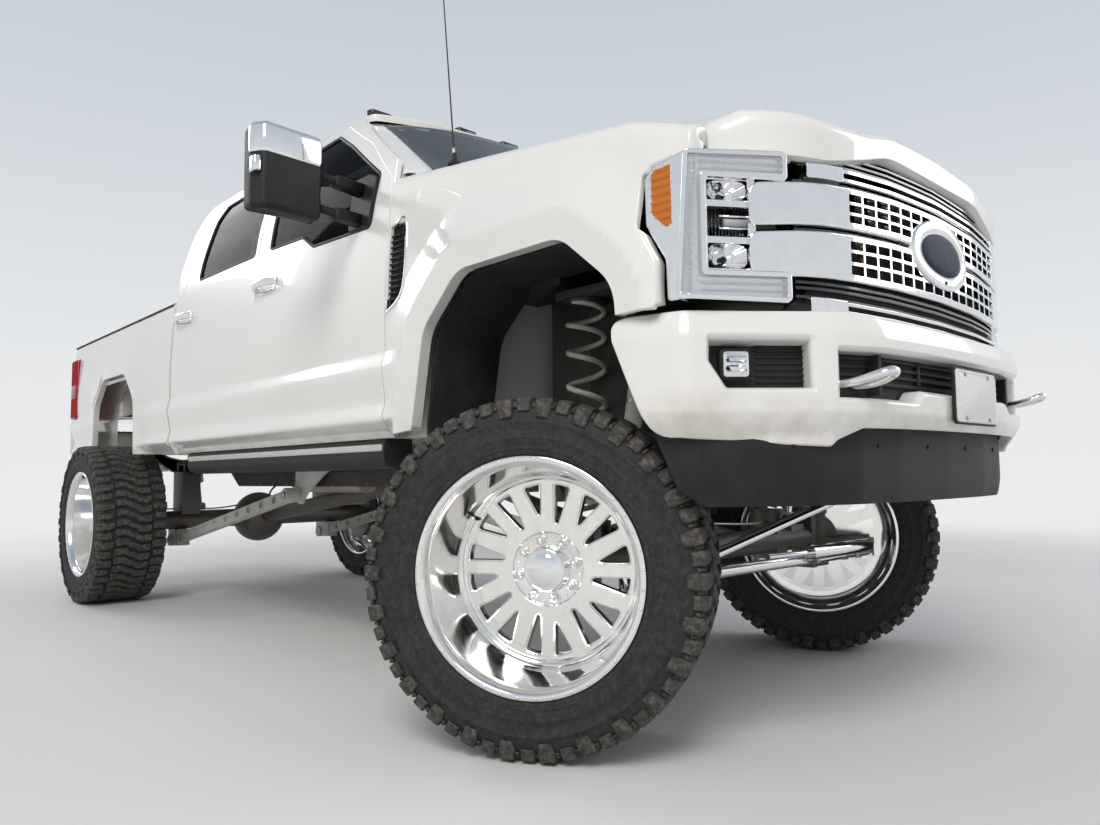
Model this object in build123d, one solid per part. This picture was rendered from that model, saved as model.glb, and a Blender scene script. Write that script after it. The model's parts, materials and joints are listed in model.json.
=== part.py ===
from build123d import *
import os
from math import cos, sin, pi, radians

# Lifted crew-cab pickup truck, standing with its front wheels steered left.
# Millimetres, +Z up, the front towards -Y and the left side towards +X.
# Every y below is measured from the front axle, and write() moves the finished
# pieces so that the origin lies on the ground under the middle of the truck.

# Overall layout
wheelbase = 4059.0
front_end_y = -1010.0       # tips of the tow hooks
rear_end_y = 5380.0         # rear bumper
side_x = 975.0              # door skin above the crease
flare_x = 1016.0            # lips of the wheel arches

# Wheels and tyres
tyre_radius = 503.5
tyre_width = 394.0
tyre_lugs = 26
lug_share = 0.58            # part of one pitch that a lug fills
lug_depth = 17.0
rim_radius = 335.0
rim_width = 380.0
barrel_radius = 322.0
dish_depth = 207.0          # from the outer lip to the spoke face
disc_thickness = 34.0
spoke_pairs = 8
cap_radius = 65.0
kingpin_x = 791.0
front_lip_reach = 350.0     # outer lip plane, outboard of the kingpin
rear_lip_x = 1195.0
steer_at_rest = 30.5        # degrees to the left

# Body
door_gap = 6.0
top_relief = 9.0            # extra gap behind the top of each door's rear edge
skin_depth = 22.0           # outer flange of a door
skin_recess = 28.0          # how deep that flange sits in the cab
door_inset = 45.0           # inner box of a door, inside its outline
opening_inset = 22.0        # edge of the body opening, inside the same outline
wall = 55.0
door_depth = 110.0
dash_rear_y = 1080.0
floor_top_z = 990.0
sill_z = 930.0
crease_z = 1247.0
belt_x = 957.0
belt_z = 1740.0
roof_z = 2470.0
cab_front_y = 600.0
cab_rear_y = 3060.0
front_door_y = 750.0
pillar_y = 1940.0
rear_door_end_y = 3017.0
glass_depth = 10.0
glass_thickness = 6.0
panel = 26.0
arch_top_z = 1465.0
flare_width = 88.0

# Cargo bed and tailgate
bed_front_y = 3105.0
bed_rear_y = 5292.0
bed_rail_z = 1812.0
bed_floor_z = 1277.0
bed_bottom_z = 917.0
bed_wall_x = 850.0
housing_x = 642.0
housing_half_length = 400.0
housing_top_z = 1510.0
rear_arch_y = 4083.0
tailgate_thickness = 55.0
tailgate_half_width = 842.0
tailgate_bottom_z = 1246.0
gate_hinge_y = 5278.0
gate_hinge_z = 1252.0
tail_lamp_front_y = 5130.0
lamp_inner_x = 880.0
bumper_front_y = 5250.0
ball_hole_radius = 13.0

# Chassis
rail_x = 430.0
rail_width = 80.0
rail_height = 180.0
rail_z = 905.0              # front section, over the axle
rail_mid_z = 735.0          # below the cab
rear_rail_y = 5309.7
front_spring_x = 560.0
front_spring_y = 98.0
spring_radius = 73.0
spring_wire = 18.0
spring_top_z = 1392.0
axle_tube_radius = 50.0
tie_rod_radius = 22.0
steer_arm = 210.0           # kingpin to ball joint, the same as the pitman arm
tie_rod_z = 440.0
pitman_x = 365.0
pitman_y = -230.0
drag_link_z = 735.0
joint_gap = 0.3             # between pieces that bear on each other

lug_pitch = 360.0 / tyre_lugs
gap_half = lug_pitch * (1 - lug_share) / 2
axle_z = tyre_radius * cos(radians(gap_half))
mid_y = (front_end_y + rear_end_y) / 2
spring_seat_z = axle_z + 122
pinion_y = 185.0
rear_pinion_y = wheelbase - 209


def box(x0, x1, y0, y1, z0, z1):
    return Pos((x0 + x1) / 2, (y0 + y1) / 2, (z0 + z1) / 2) * Box(x1 - x0, y1 - y0, z1 - z0)


def side_prism(outline, x0, x1):
    """Outline in (y, z), carried along x."""
    face = make_face(Polyline(*[(x0, y, z) for y, z in outline], close=True))
    return extrude(face, amount=x1 - x0, dir=(1, 0, 0))


def front_prism(outline, y0, y1):
    """Outline in (x, z), carried along y."""
    face = make_face(Polyline(*[(x, y0, z) for x, z in outline], close=True))
    return extrude(face, amount=y1 - y0, dir=(0, 1, 0))


def plan_prism(outline, z0, z1):
    """Outline in (x, y), carried along z."""
    face = make_face(Polyline(*[(x, y, z0) for x, y in outline], close=True))
    return extrude(face, amount=z1 - z0, dir=(0, 0, 1))


def rounded_side_prism(outline, radius, x0, x1):
    """The same as side_prism, with every corner rounded."""
    path = FilletPolyline(*[(x0, y, z) for y, z in outline], radius=radius, close=True)
    return extrude(make_face(path), amount=x1 - x0, dir=(1, 0, 0))


def rod(start, end, radius):
    """Round bar between two points."""
    path = Line(start, end)
    return extrude(Plane(start, z_dir=path % 0) * Circle(radius), amount=path.length)


def joined(pieces):
    whole = pieces[0]
    for piece in pieces[1:]:
        whole = whole + piece
    return whole


def both(piece):
    return piece + mirror(piece, about=Plane.YZ)


def inset(outline, distance):
    """The same outline, moved inwards by a distance (outwards when negative)."""
    face = make_face(Polyline(*[(y, z) for y, z in outline], close=True))
    moved = offset(face, amount=-distance, kind=Kind.INTERSECTION)
    wire = moved.faces()[0].outer_wire()
    return [(v.X, v.Y) for v in [e @ 0 for e in wire.order_edges()]]


# Wheels

def ngon(count, radius, turn=0.0):
    step = 2 * pi / count
    return [(radius * cos(radians(turn) + i * step), radius * sin(radians(turn) + i * step))
            for i in range(count)]


def wheel_face(points, depth):
    """A closed outline across the wheel's axis. Depth runs inboard from the outer lip."""
    return make_face(Polyline(*[(-depth, y, z) for y, z in points], close=True))


def wheel_disc(points, depth_from, depth_to):
    return extrude(wheel_face(points, depth_from), amount=depth_to - depth_from, dir=(-1, 0, 0))


def lug_outline(turn):
    """Gear-like outline: each lug is one flat block between its two corners."""
    root = tyre_radius - lug_depth
    points = []
    for i in range(tyre_lugs):
        middle = radians(turn + i * lug_pitch)
        half = radians(lug_pitch * lug_share / 2)
        for angle, radius in ((-1.12, root), (-1.0, tyre_radius), (1.0, tyre_radius), (1.12, root)):
            points.append((radius * cos(middle + angle * half), radius * sin(middle + angle * half)))
    return points


def tyre():
    """Carcass of flat bands, with two rows of lugs set half a pitch apart."""
    sides = 44
    middle = rim_width / 2
    half = tyre_width / 2
    # columns: distance out from the middle of the tread, radius
    bands = ((middle - 12.3, rim_radius + 2), (middle, rim_radius + 17), (half, 425.0), (half - 8, 470.0),
             (half - 26, 484.0))
    stations = [(middle - out, r) for out, r in bands] + [(middle + out, r) for out, r in reversed(bands)]
    carcass = loft([wheel_face(ngon(sides, r), d).faces()[0] for d, r in stations], ruled=True)
    down = -90.0
    outer_row = wheel_disc(lug_outline(down), middle - half + 20, middle)
    inner_row = wheel_disc(lug_outline(down + lug_pitch / 2), middle, middle + half - 20)
    seat = (barrel_radius + joint_gap) / cos(pi / sides)
    bore = wheel_disc(ngon(sides, seat), middle - half - 5, middle + half + 5)
    return carcass + outer_row + inner_row - bore


def rim():
    """Deep dished wheel: barrel, lips, hub disc with paired windows, and centre cap."""
    back = dish_depth + disc_thickness
    step_radius = 284.0
    # columns: depth from the outer lip, radius
    section = ((0, rim_radius), (10, rim_radius), (12, barrel_radius), (rim_width - 12, barrel_radius),
               (rim_width - 10, rim_radius), (rim_width, rim_radius), (rim_width, barrel_radius - 12),
               (back, barrel_radius - 14), (back, 60.0), (dish_depth + 8, 60.0), (dish_depth + 8, 99.0),
               (dish_depth, 110.0), (dish_depth, 268.0), (dish_depth - 17, step_radius),
               (60.0, 302.0), (0, rim_radius - 13))
    face = make_face(Polyline(*[(-d, 0, r) for d, r in section], close=True))
    wheel = revolve(face, Axis.X)
    spread = 360.0 / spoke_pairs
    for i in range(spoke_pairs):
        for outline in (short_window, long_window):
            wheel = wheel - Rot(spread * i, 0, 0) * rim_window(outline)
    cap = rod((-dish_depth - 20, 0, 0), (-dish_depth + 44, 0, 0), cap_radius)
    return wheel + cap


# The two openings beside each broad spoke; columns: distance across, distance out from the hub
short_window = ((-16.0, 257.0), (-16.0, 160.0), (-23.0, 150.0), (-33.0, 158.0), (-77.0, 234.0),
                (-70.0, 247.0))
long_window = ((18.0, 257.0), (18.0, 138.0), (28.0, 128.0), (39.0, 136.0), (75.0, 236.0), (69.0, 248.0))


def rim_window(outline):
    """One opening right through the hub disc."""
    return wheel_disc(outline, dish_depth - 12, dish_depth + disc_thickness + 20)


def front_wheel_at(piece, side):
    """Side is +1 on the left and -1 on the right."""
    facing = 0 if side > 0 else 180
    steered = Pos(side * kingpin_x, 0, axle_z) * Rot(0, 0, steer_at_rest)
    return steered * Rot(0, 0, facing) * Pos(front_lip_reach, 0, 0) * piece


def rear_wheel_at(piece, side):
    facing = 0 if side > 0 else 180
    return Pos(0, wheelbase, axle_z) * Rot(0, 0, facing) * Pos(rear_lip_x, 0, 0) * piece


# Cab

def side_outline(reach):
    """Half section of the body side from the sill to the belt; reach moves it inwards."""
    # columns: half width, height
    rows = ((side_x - 25, sill_z), (side_x + 9, 995.0), (side_x - 7, 1065.0), (side_x + 14, 1180.0),
            (side_x - 1, crease_z), (side_x - 3, 1500.0), (belt_x, belt_z))
    return [(x - reach, z) for x, z in rows]


def lower_section(reach, bottom):
    """Closed section of the lower body, from the centre plane outwards."""
    right = side_outline(reach)
    right[0] = (right[0][0], bottom)
    left = [(-x, z) for x, z in reversed(right)]
    return right + left


# Greenhouse levels; columns: height, half width, front on the centre line, rear
cab_levels = ((belt_z - 30, belt_x, 266.0, cab_rear_y), (2010.0, 924.0, 665.0, cab_rear_y),
              (2220.0, 864.0, 944.0, cab_rear_y - 20), (2330.0, 815.0, 1090.0, cab_rear_y - 40),
              (2395.0, 770.0, 1190.0, cab_rear_y - 70), (2440.0, 640.0, 1400.0, cab_rear_y - 230),
              (roof_z, 380.0, 1680.0, cab_rear_y - 500))


def cab_level(z, half, front, rear, shrink):
    """Plan outline of the greenhouse at one height, smaller all round by shrink."""
    half, front, rear = half - shrink, front + shrink, rear - shrink
    lift = shrink if z > 2335 else 0.0
    # columns: half width, y
    rows = [(half * 0.5, front + 25), (half - 95, front + 90), (half - 35, front + 135),
            (half, front + 380), (half, rear - 380), (half - 12, rear - 80), (half - 80, rear)]
    left = [(-x, y) for x, y in reversed(rows)]
    return make_face(Polyline(*[(x, y, z - lift) for x, y in rows + left], close=True)).faces()[0]


def greenhouse(shrink):
    """Windows, pillars and roof as one lofted body."""
    return loft([cab_level(*row, shrink) for row in cab_levels], ruled=True)


def cab_body(shrink, lower_shrink, bottom, front, rear):
    """The whole cab as one solid, from which the shell, doors and glass are cut."""
    lower = front_prism(lower_section(lower_shrink, bottom), front, rear)
    upper = greenhouse(shrink) & box(-1200, 1200, front, rear, belt_z - 1, 3000)
    return lower + upper


def cab_skin():
    outer = cab_body(0, 0, sill_z, cab_front_y, cab_rear_y)
    inner = cab_body(wall, door_depth, floor_top_z, cab_front_y + wall, cab_rear_y - wall)
    narrow = box(870, 1100, cab_front_y - 1, front_door_y - door_gap, 0, 1945)
    return outer - inner - both(narrow)


def surface_band(depth_from, depth_to):
    """The layer of the cab between two depths below its outer surface."""
    def at(depth):
        return cab_body(depth, depth, sill_z, cab_front_y + depth, cab_rear_y - depth)
    return at(depth_from) - at(depth_to)


# The rear edges lean away above the windows' middle, where an opening door swings furthest back
front_door_outline = [(front_door_y, sill_z + 6), (pillar_y - door_gap / 2, sill_z + 6),
                      (pillar_y - door_gap / 2, 2010.0), (pillar_y - door_gap / 2 - top_relief, 2350.0),
                      (1330.0, 2350.0), (985.0, 2142.0), (front_door_y + 25, 1940.0), (front_door_y, 1860.0)]
rear_door_outline = [(pillar_y + door_gap / 2, sill_z + 6), (rear_door_end_y, sill_z + 6),
                     (rear_door_end_y, 1780.0), (rear_door_end_y - 67, 1880.0), (2815.0, 1990.0),
                     (2785.0, 2250.0), (2710.0, 2350.0), (pillar_y + door_gap / 2, 2350.0)]
front_window = [(885.0, 1762.0), (1362.0, 1784.0), (1478.0, 1850.0), (1815.0, 1866.0), (1815.0, 2312.0),
                (1372.0, 2312.0), (1178.0, 2198.0), (852.0, 1972.0)]
rear_window = [(1990.0, 1872.0), (2738.0, 1886.0), (2706.0, 2230.0), (2640.0, 2312.0), (1990.0, 2312.0)]
windscreen = [(-785.0, 1975.0), (785.0, 1975.0), (700.0, 2352.0), (-700.0, 2352.0)]
back_window = [(-560.0, 1930.0), (560.0, 1930.0), (540.0, 2290.0), (-540.0, 2290.0)]


def cab_shell(skin):
    shell = skin
    recess = surface_band(-20, skin_recess)
    for outline in (front_door_outline, rear_door_outline):
        around = both(side_prism(inset(outline, -door_gap), 500, 1100))
        shell = shell - (around & recess)
        behind = [(y + top_relief if y > 2600 else y, z) for y, z in outline if z > 1870]
        shell = shell - (both(side_prism(inset(behind, -door_gap), 500, 1100)) & recess)
        shell = shell - both(side_prism(inset(outline, opening_inset), 500, 1100))
    seal_layer = surface_band(skin_depth + joint_gap, skin_recess + 2)
    for end in (pillar_y - door_gap / 2, rear_door_end_y):
        strip = [(end - 20, 1000.0), (end - 8, 1000.0), (end - 8, 1700.0), (end - 20, 1700.0)]
        shell = shell + (both(side_prism(strip, 500, 1100)) & seal_layer)
    shell = shell - front_prism(windscreen, cab_front_y - 60, 1330)
    shell = shell - front_prism(back_window, 2900, cab_rear_y + 60)
    return shell


def door(skin, outline, window):
    """Outer flange and the thicker inner box, which stays clear above the cab's floor."""
    outer = side_prism(outline, 500, 1100)
    flange = outer & surface_band(0, skin_depth)
    inner = side_prism(inset(outline, door_inset), 500, 1100) & skin
    inner = inner & box(500, 1100, cab_front_y, cab_rear_y, floor_top_z + joint_gap, roof_z)
    return flange + inner - side_prism(window, 500, 1100)


def door_glass(band, window):
    return side_prism(window, 500, 1100) & band


def cab_glass(band):
    front = front_prism(windscreen, cab_front_y - 60, 1330) & band
    back = front_prism(back_window, 2900, cab_rear_y + 60) & band
    return front + back


# Front end

front_arch = [(-452.0, 800.0), (-442.0, 1290.0), (-230.0, arch_top_z), (262.0, arch_top_z), (462.0, 1290.0),
              (560.0, 800.0)]
rear_arch = [(rear_arch_y - 480, 800.0), (rear_arch_y - 440, 1290.0), (rear_arch_y - 240, arch_top_z + 5),
             (rear_arch_y + 240, arch_top_z + 5), (rear_arch_y + 440, 1290.0), (rear_arch_y + 480, 800.0)]
arch_radius = 150.0
liner_outer_x = 930.0


def ridge_z(y):
    """Height of the fender's upper edge."""
    return 1767.0 + 0.144 * (y + 457.0) - (0.35 * (-457.0 - y) if y < -457.0 else 0.0)


def fender_face(y, shrink):
    taper = 12.0 if y < -600 else 0.0
    rows = [(x - taper, z) for x, z in side_outline(shrink)[:-1]]
    rows[0] = (rows[0][0], 700.0 if shrink else 916.0)
    top = ridge_z(y) - shrink
    inner_x = 640.0 if shrink else 876.0
    rows += [(948.0 - taper - shrink, top - 120.0), (925.0 - taper - shrink, top - 30.0),
             (893.0 - taper, top), (inner_x, top), (inner_x, rows[0][1])]
    return make_face(Polyline(*[(x, y, z) for x, z in rows], close=True)).faces()[0]


def fender():
    """Outer front wing: a thin shell with a raised lip round the arch."""
    stations = (-660.0, -457.0, 200.0, front_door_y - door_gap)
    outer = loft([fender_face(y, 0) for y in stations], ruled=True)
    inner = loft([fender_face(y, panel) for y in (-700.0, -457.0, 200.0, 800.0)], ruled=True)
    lip = rounded_side_prism(inset(front_arch, -flare_width), arch_radius + flare_width, 955, flare_x)
    lip = lip & box(900, 1100, -470 - flare_width, 700, 916, 1700)
    opening = rounded_side_prism(front_arch, arch_radius, 500, 1200)
    nose = box(500, 1200, -1200, joint_gap - 530, 700, 1645) + box(500, 1200, -1200, -400, 700, 1212)
    brace = box(870 + joint_gap, 950, 700, 712, 1000, 1840)
    vent = side_prism([(608.0, 1393.0), (640.0, 1393.0), (742.0, 1700.0), (742.0, 1730.0), (640.0, 1715.0),
                       (608.0, 1500.0)], 900, 1100) & box(900, 1100, 600, 760, 1390, 1735)
    flange = rounded_side_prism(inset(front_arch, -14), arch_radius + 14, liner_outer_x, 990)
    flange = flange & box(900, 1100, -520, 700, 1215, 1700)
    return outer - inner + lip + flange + brace - opening - nose - vent


def hood_face(y, drop):
    """Cross-section of the hood with its raised centre."""
    edge = ridge_z(max(y, -457.0)) if y > -600 else 0.0
    # columns: station y, edge height, height of the raised centre above the edge, depth of the apron
    rows = {-905.0: (1672.0, 22.0), -840.0: (1722.0, 34.0), -700.0: (1738.0, 50.0)}
    top, dome = rows.get(y, (edge - 4.0, 58.0))
    base = max(top - 92.0, 1640.0) if y > -800 else 1640.0
    outline = [(876.0, base), (876.0, top - 12), (830.0, top), (450.0, top + 12), (340.0, top + dome),
               (150.0, top + dome + 14)]
    outline = [(x, z - drop if i > 0 else z - 3 * drop) for i, (x, z) in enumerate(outline)]
    left = [(-x, z) for x, z in reversed(outline)]
    return make_face(Polyline(*[(x, y, z) for x, z in outline + left], close=True)).faces()[0]


nose_plan = [(0.0, -905.0), (300.0, -896.0), (500.0, -874.0), (620.0, -852.0), (700.0, -826.0),
             (800.0, -740.0), (872.0, -655.0)]


def nose_outline(forward, rear):
    """Closed plan outline behind the front curve, moved forward by a distance."""
    right = [(x, y - forward) for x, y in nose_plan]
    left = [(-x, y) for x, y in reversed(right[1:])]
    return left + right + [(nose_plan[-1][0], rear), (-nose_plan[-1][0], rear)]


def hood():
    stations = (-905.0, -840.0, -700.0, -457.0, 200.0, cab_front_y - 10)
    outer = loft([hood_face(y, 0) for y in stations], ruled=True)
    inner = loft([hood_face(y, panel) for y in stations], ruled=True)
    outer = outer & plan_prism(nose_outline(0, 620), 1500, 2200)
    inner = inner & plan_prism([(x * 0.968, y + panel) for x, y in nose_outline(0, 560)], 1500, 2200)
    return outer - inner


def front_band(curve, y_shift, depth, z0, z1):
    """A bar that follows a plan curve across the whole front."""
    right = [(x, y + y_shift) for x, y in curve]
    left = [(-x, y) for x, y in reversed(right[1:])]
    front = left + right
    back = [(x, y + depth) for x, y in reversed(front)]
    return plan_prism(front + back, z0, z1)


grille_plan = [(0.0, -900.0), (300.0, -890.0), (500.0, -868.0), (620.0, -845.0), (700.0, -815.0),
               (810.0, -748.0)]
bar_rows = ((1290.0, 1396.0), (1422.0, 1526.0))     # columns: bottom, top
strip_rows = ((1203.0, 1232.0), (1250.0, 1262.0), (1549.0, 1578.0), (1596.0, 1608.0))
mesh_half_width = 522.0
mesh_columns = 16
mesh_bars = 3
mesh_web = 9.0


def grille():
    """Two broad bars pierced by rows of windows, thin strips above and below, and a backing."""
    pieces = []
    for z0, z1 in bar_rows:
        bar = front_band(grille_plan, 0, 34, z0, z1)
        pitch = 2 * mesh_half_width / mesh_columns
        row = (z1 - z0 - 2 * mesh_web) / mesh_bars
        for i in range(mesh_columns):
            x = -mesh_half_width + pitch * i
            for j in range(mesh_bars):
                z = z0 + mesh_web + row * j
                bar = bar - box(x + mesh_web / 2, x + pitch - mesh_web / 2, -950, -700,
                                z + mesh_web / 2, z + row - mesh_web / 2)
        pieces.append(bar)
    for z0, z1 in strip_rows:
        pieces.append(front_band(grille_plan[:5], 6, 28, z0, z1))
    surround = front_band(grille_plan[:5], 34, 30, 1195 + joint_gap, 1640 - joint_gap)
    surround = surround + front_band(grille_plan[:5], 10, 50, 1622, 1640 - joint_gap)
    hub = Pos(0, -884, 1409) * Rot(90, 0, 0) * extrude(Ellipse(176, 92), amount=22, both=True)
    return joined([surround, hub] + pieces)


lamp_plan = [(752.0, -790.0), (960.0, -654.0), (968.0, -530.0)]
lamp_z = (1222.0, 1615.0)


def headlamp():
    """Lamp housing round the corner, with its open cells and the C-shaped light pipe."""
    inner = [(968.0 - 70, -530.0), (888.0, -618.0), (722.0, -728.0)]
    housing = plan_prism(lamp_plan + inner, *lamp_z)
    start = 700.0 + joint_gap
    arm = [(start, -792.0), (722.0, -806.0), (752.0, -790.0), (722.0, -728.0), (start, -745.0)]
    for z0, z1 in ((lamp_z[0], lamp_z[0] + 70), (lamp_z[1] - 70, lamp_z[1])):
        housing = housing + plan_prism(arm, z0, z1)
    cells = ((1300.0, 1375.0), (1385.0, 1470.0), (1480.0, 1555.0))
    cell_plan = [(740.0, -840.0), (905.0, -730.0), (872.0, -672.0), (752.0, -750.0)]
    for z0, z1 in cells:
        housing = housing - plan_prism(cell_plan, z0, z1)
    housing = housing - box(600, 822, -900, -700, bar_rows[0][0] - 6, bar_rows[1][1] + 6)
    return housing


bumper_plan = [(0.0, -970.0), (300.0, -962.0), (500.0, -940.0), (640.0, -885.0), (800.0, -760.0),
               (908.0, -677.0), (960.0, -640.0), (1000.0, -500.0)]


def bumper_level(z, back, end_y):
    """Plan outline of the bumper at one height, moved back by a distance."""
    right = [(x - back * 0.6 if i else x, y + back) for i, (x, y) in enumerate(bumper_plan)]
    right[-1] = (right[-1][0], end_y)
    left = [(-x, y) for x, y in reversed(right[1:])]
    front = left + right
    rear = [(x * 0.935, y + 62 if abs(x) < 930 else y) for x, y in reversed(front)]
    return make_face(Polyline(*[(x, y, z) for x, y in front + rear], close=True)).faces()[0]


def front_bumper():
    # columns: height, distance back, rear end of the side
    rows = ((875.0, 34.0, -562.0), (930.0, 4.0, -548.0), (1120.0, 0.0, -452.0), (1195.0, 22.0, -424.0))
    bumper = loft([bumper_level(*row) for row in rows], ruled=True)
    fog = both(box(722, 894, -900, -600, 990, 1111))
    # the lower edge steps up over the plate
    centre = front_prism([(-655.0, 1096.0), (655.0, 1096.0), (655.0, 978.0), (330.0, 978.0), (300.0, 1012.0),
                          (-300.0, 1012.0), (-330.0, 978.0), (-655.0, 978.0)], -1000, -700)
    beam = front_band(bumper_plan[:5], 62, 30, 985, 1095)
    return bumper - fog - centre + beam


def air_dam():
    curve = [(0.0, -925.0), (300.0, -917.0), (500.0, -896.0), (640.0, -845.0), (800.0, -728.0),
             (905.0, -622.0)]
    return front_band(curve, 0, 24, 700, 874.7)


def tow_hook():
    radius, z = 12, 1035
    tip = front_end_y + radius
    loop = rod((560, tip, z), (640, tip, z), radius)
    arms = rod((560, tip, z), (560, -840, z), radius) + rod((640, tip, z), (640, -790, z), radius)
    behind = front_band(bumper_plan[:5], 62 - joint_gap, 200, 900, 1200)
    return loop + arms - behind


def licence_plate():
    return box(-152.5, 152.5, -986, -968, 922, 1075)


# Cargo bed

def bed_side():
    """Left outer wall, with the wheel arch, its flare and the pockets for lamp and bumper."""
    rows = [(x, z) for x, z in side_outline(0)[:-1]]
    rows[0] = (950.0, bed_bottom_z)
    outline = rows + [(958.0, 1780.0), (940.0, bed_rail_z), (bed_wall_x, bed_rail_z),
                      (bed_wall_x, bed_bottom_z)]
    side = front_prism(outline, bed_front_y, bed_rear_y)
    lip = rounded_side_prism(inset(rear_arch, -flare_width), arch_radius + flare_width, 955, flare_x)
    side = side + (lip & box(900, 1100, bed_front_y, bed_rear_y, bed_bottom_z, 1700))
    side = side - rounded_side_prism(rear_arch, arch_radius, 655, 1200)
    side = side - box(bed_wall_x - 10, 1100, bumper_front_y - door_gap, bed_rear_y + 5, 900, 1171)
    return side - box(lamp_inner_x, 1100, tail_lamp_front_y, bed_rear_y + 5, 1243, 1707)


def wheel_housing():
    """Left rear wheelhouse: a pressed box, open to the wheel, that stands through the floor."""
    half = housing_half_length
    outside = box(housing_x, bed_wall_x - joint_gap, rear_arch_y - half, rear_arch_y + half,
                  bed_floor_z - 45, housing_top_z)
    inside = box(housing_x + 13, bed_wall_x + 1, rear_arch_y - half + 15, rear_arch_y + half - 15,
                 bed_floor_z - 50, housing_top_z - 15)
    return outside - inside


def cargo_bed():
    """Ribbed floor on its cross sills, with the bulkhead behind the cab."""
    half = bed_wall_x - joint_gap
    rear = bed_rear_y - tailgate_thickness - door_gap
    front = box(-half, half, bed_front_y, bed_front_y + 45, 1100, bed_rail_z)
    floor = box(-half, half, bed_front_y, rear, bed_floor_z - 45, bed_floor_z - 12)
    ribs = [box(x - 34, x + 34, bed_front_y + 20, rear, bed_floor_z - 14, bed_floor_z)
            for x in range(-800, 801, 100)]
    # columns: front of a cross sill, height of the rail below it
    sills = [box(-470, 470, y, y + 60, z + joint_gap, bed_floor_z - 40)
             for y, z in ((3900, 1150), (4300, 1150), (4900, 1120))]
    reach = housing_half_length + joint_gap
    around = box(housing_x - joint_gap, 900, rear_arch_y - reach, rear_arch_y + reach, 1200, bed_floor_z + 5)
    return joined([front, floor] + ribs + sills) - both(around)


def tail_lamp():
    return box(lamp_inner_x + joint_gap, 984, tail_lamp_front_y + joint_gap, bed_rear_y,
               1243 + joint_gap, 1706)


def tailgate():
    gate = box(-tailgate_half_width, tailgate_half_width, bed_rear_y - tailgate_thickness, bed_rear_y,
               tailgate_bottom_z, bed_rail_z - 6)
    recess = box(-700, 700, bed_rear_y - 12, bed_rear_y + 5, 1330, 1700)
    reach = bed_wall_x - joint_gap
    pins = rod((-reach, gate_hinge_y, gate_hinge_z), (reach, gate_hinge_y, gate_hinge_z), 6)
    return gate - recess + pins


def rear_bumper():
    outline = [(-985.0, bumper_front_y), (-960.0, 5345.0), (-900.0, rear_end_y), (900.0, rear_end_y),
               (960.0, 5345.0), (985.0, bumper_front_y), (900.0, bumper_front_y), (860.0, 5310.0),
               (-860.0, 5310.0), (-900.0, bumper_front_y)]
    face = plan_prism(outline, 985, 1165)
    step = box(-330, 330, 5300, rear_end_y - 8, 1040, 1110)
    ball_hole = Pos(0, rear_end_y - 45, 1075) * Cylinder(ball_hole_radius, 200)
    plate_recess = box(-170, 170, rear_end_y - 10, rear_end_y + 5, 990, 1150)
    return face + step - plate_recess - ball_hole


# Chassis

def frame():
    """Two rails with cross members, spring hangers and the receiver tube."""
    inner, outer = rail_x - rail_width / 2, rail_x + rail_width / 2
    low, high = rail_mid_z, rail_mid_z + 170
    bed_low, bed_high = 1000.0, 1120.0
    kick = [(-870.0, rail_z), (-870.0, rail_z + rail_height), (-300.0, rail_z + rail_height), (700.0, high),
            (3300.0, high), (3750.0, bed_high + 30), (4400.0, bed_high + 30), (4700.0, bed_high),
            (rear_rail_y, bed_high), (rear_rail_y, bed_low), (4700.0, bed_low), (4400.0, bed_low + 30),
            (3750.0, bed_low + 30), (3300.0, low), (700.0, low), (-300.0, rail_z)]
    rails = both(side_prism(kick, inner, outer))
    # columns: y from, y to, z from, z to
    cross = ((-700, -640, 930, 1020), (620, 700, 760, 850), (1900, 1980, 842, 900), (2900, 2980, 812, 890),
             (3560, 3620, 940, 1020), (4560, 4620, 1040, 1110), (5200, 5280, 1010, 1100))
    members = [box(-inner - 5, inner + 5, y0, y1, z0, z1) for y0, y1, z0, z1 in cross]
    tower_rear = front_spring_y + 70
    towers = both(box(outer - 4, front_spring_x + 80, -215, tower_rear, spring_top_z, spring_top_z + 28)
                  + box(outer - 20, outer, -215, tower_rear, rail_z + rail_height - 100, spring_top_z + 28))
    mounts = [both(rod((rail_x, y, high - 1), (rail_x, y, sill_z - joint_gap), 34))
              for y in (880, 1850, 2900)]
    ahead = front_band(bumper_plan[:5], -200, 292 + joint_gap, 850, 1200)
    return joined([rails, towers] + members + mounts) - ahead


def coil_spring():
    """Square wire wound round its axis, one flat-faced length after another."""
    turns, per_turn = 7, 12
    bottom, top = spring_seat_z + joint_gap, spring_top_z - joint_gap
    mean = spring_radius - spring_wire / 2
    half = spring_wire / 2
    faces = []
    count = turns * per_turn
    for i in range(count + 1):
        angle = 2 * pi * i / per_turn
        z = bottom + half + (top - bottom - spring_wire) * i / count
        corners = [(mean - half, -half), (mean + half, -half), (mean + half, half), (mean - half, half)]
        wire = Polyline(*[(front_spring_x + r * cos(angle), front_spring_y + r * sin(angle), z + h)
                          for r, h in corners], close=True)
        faces.append(make_face(wire).faces()[0])
    return loft(faces, ruled=True)


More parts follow.
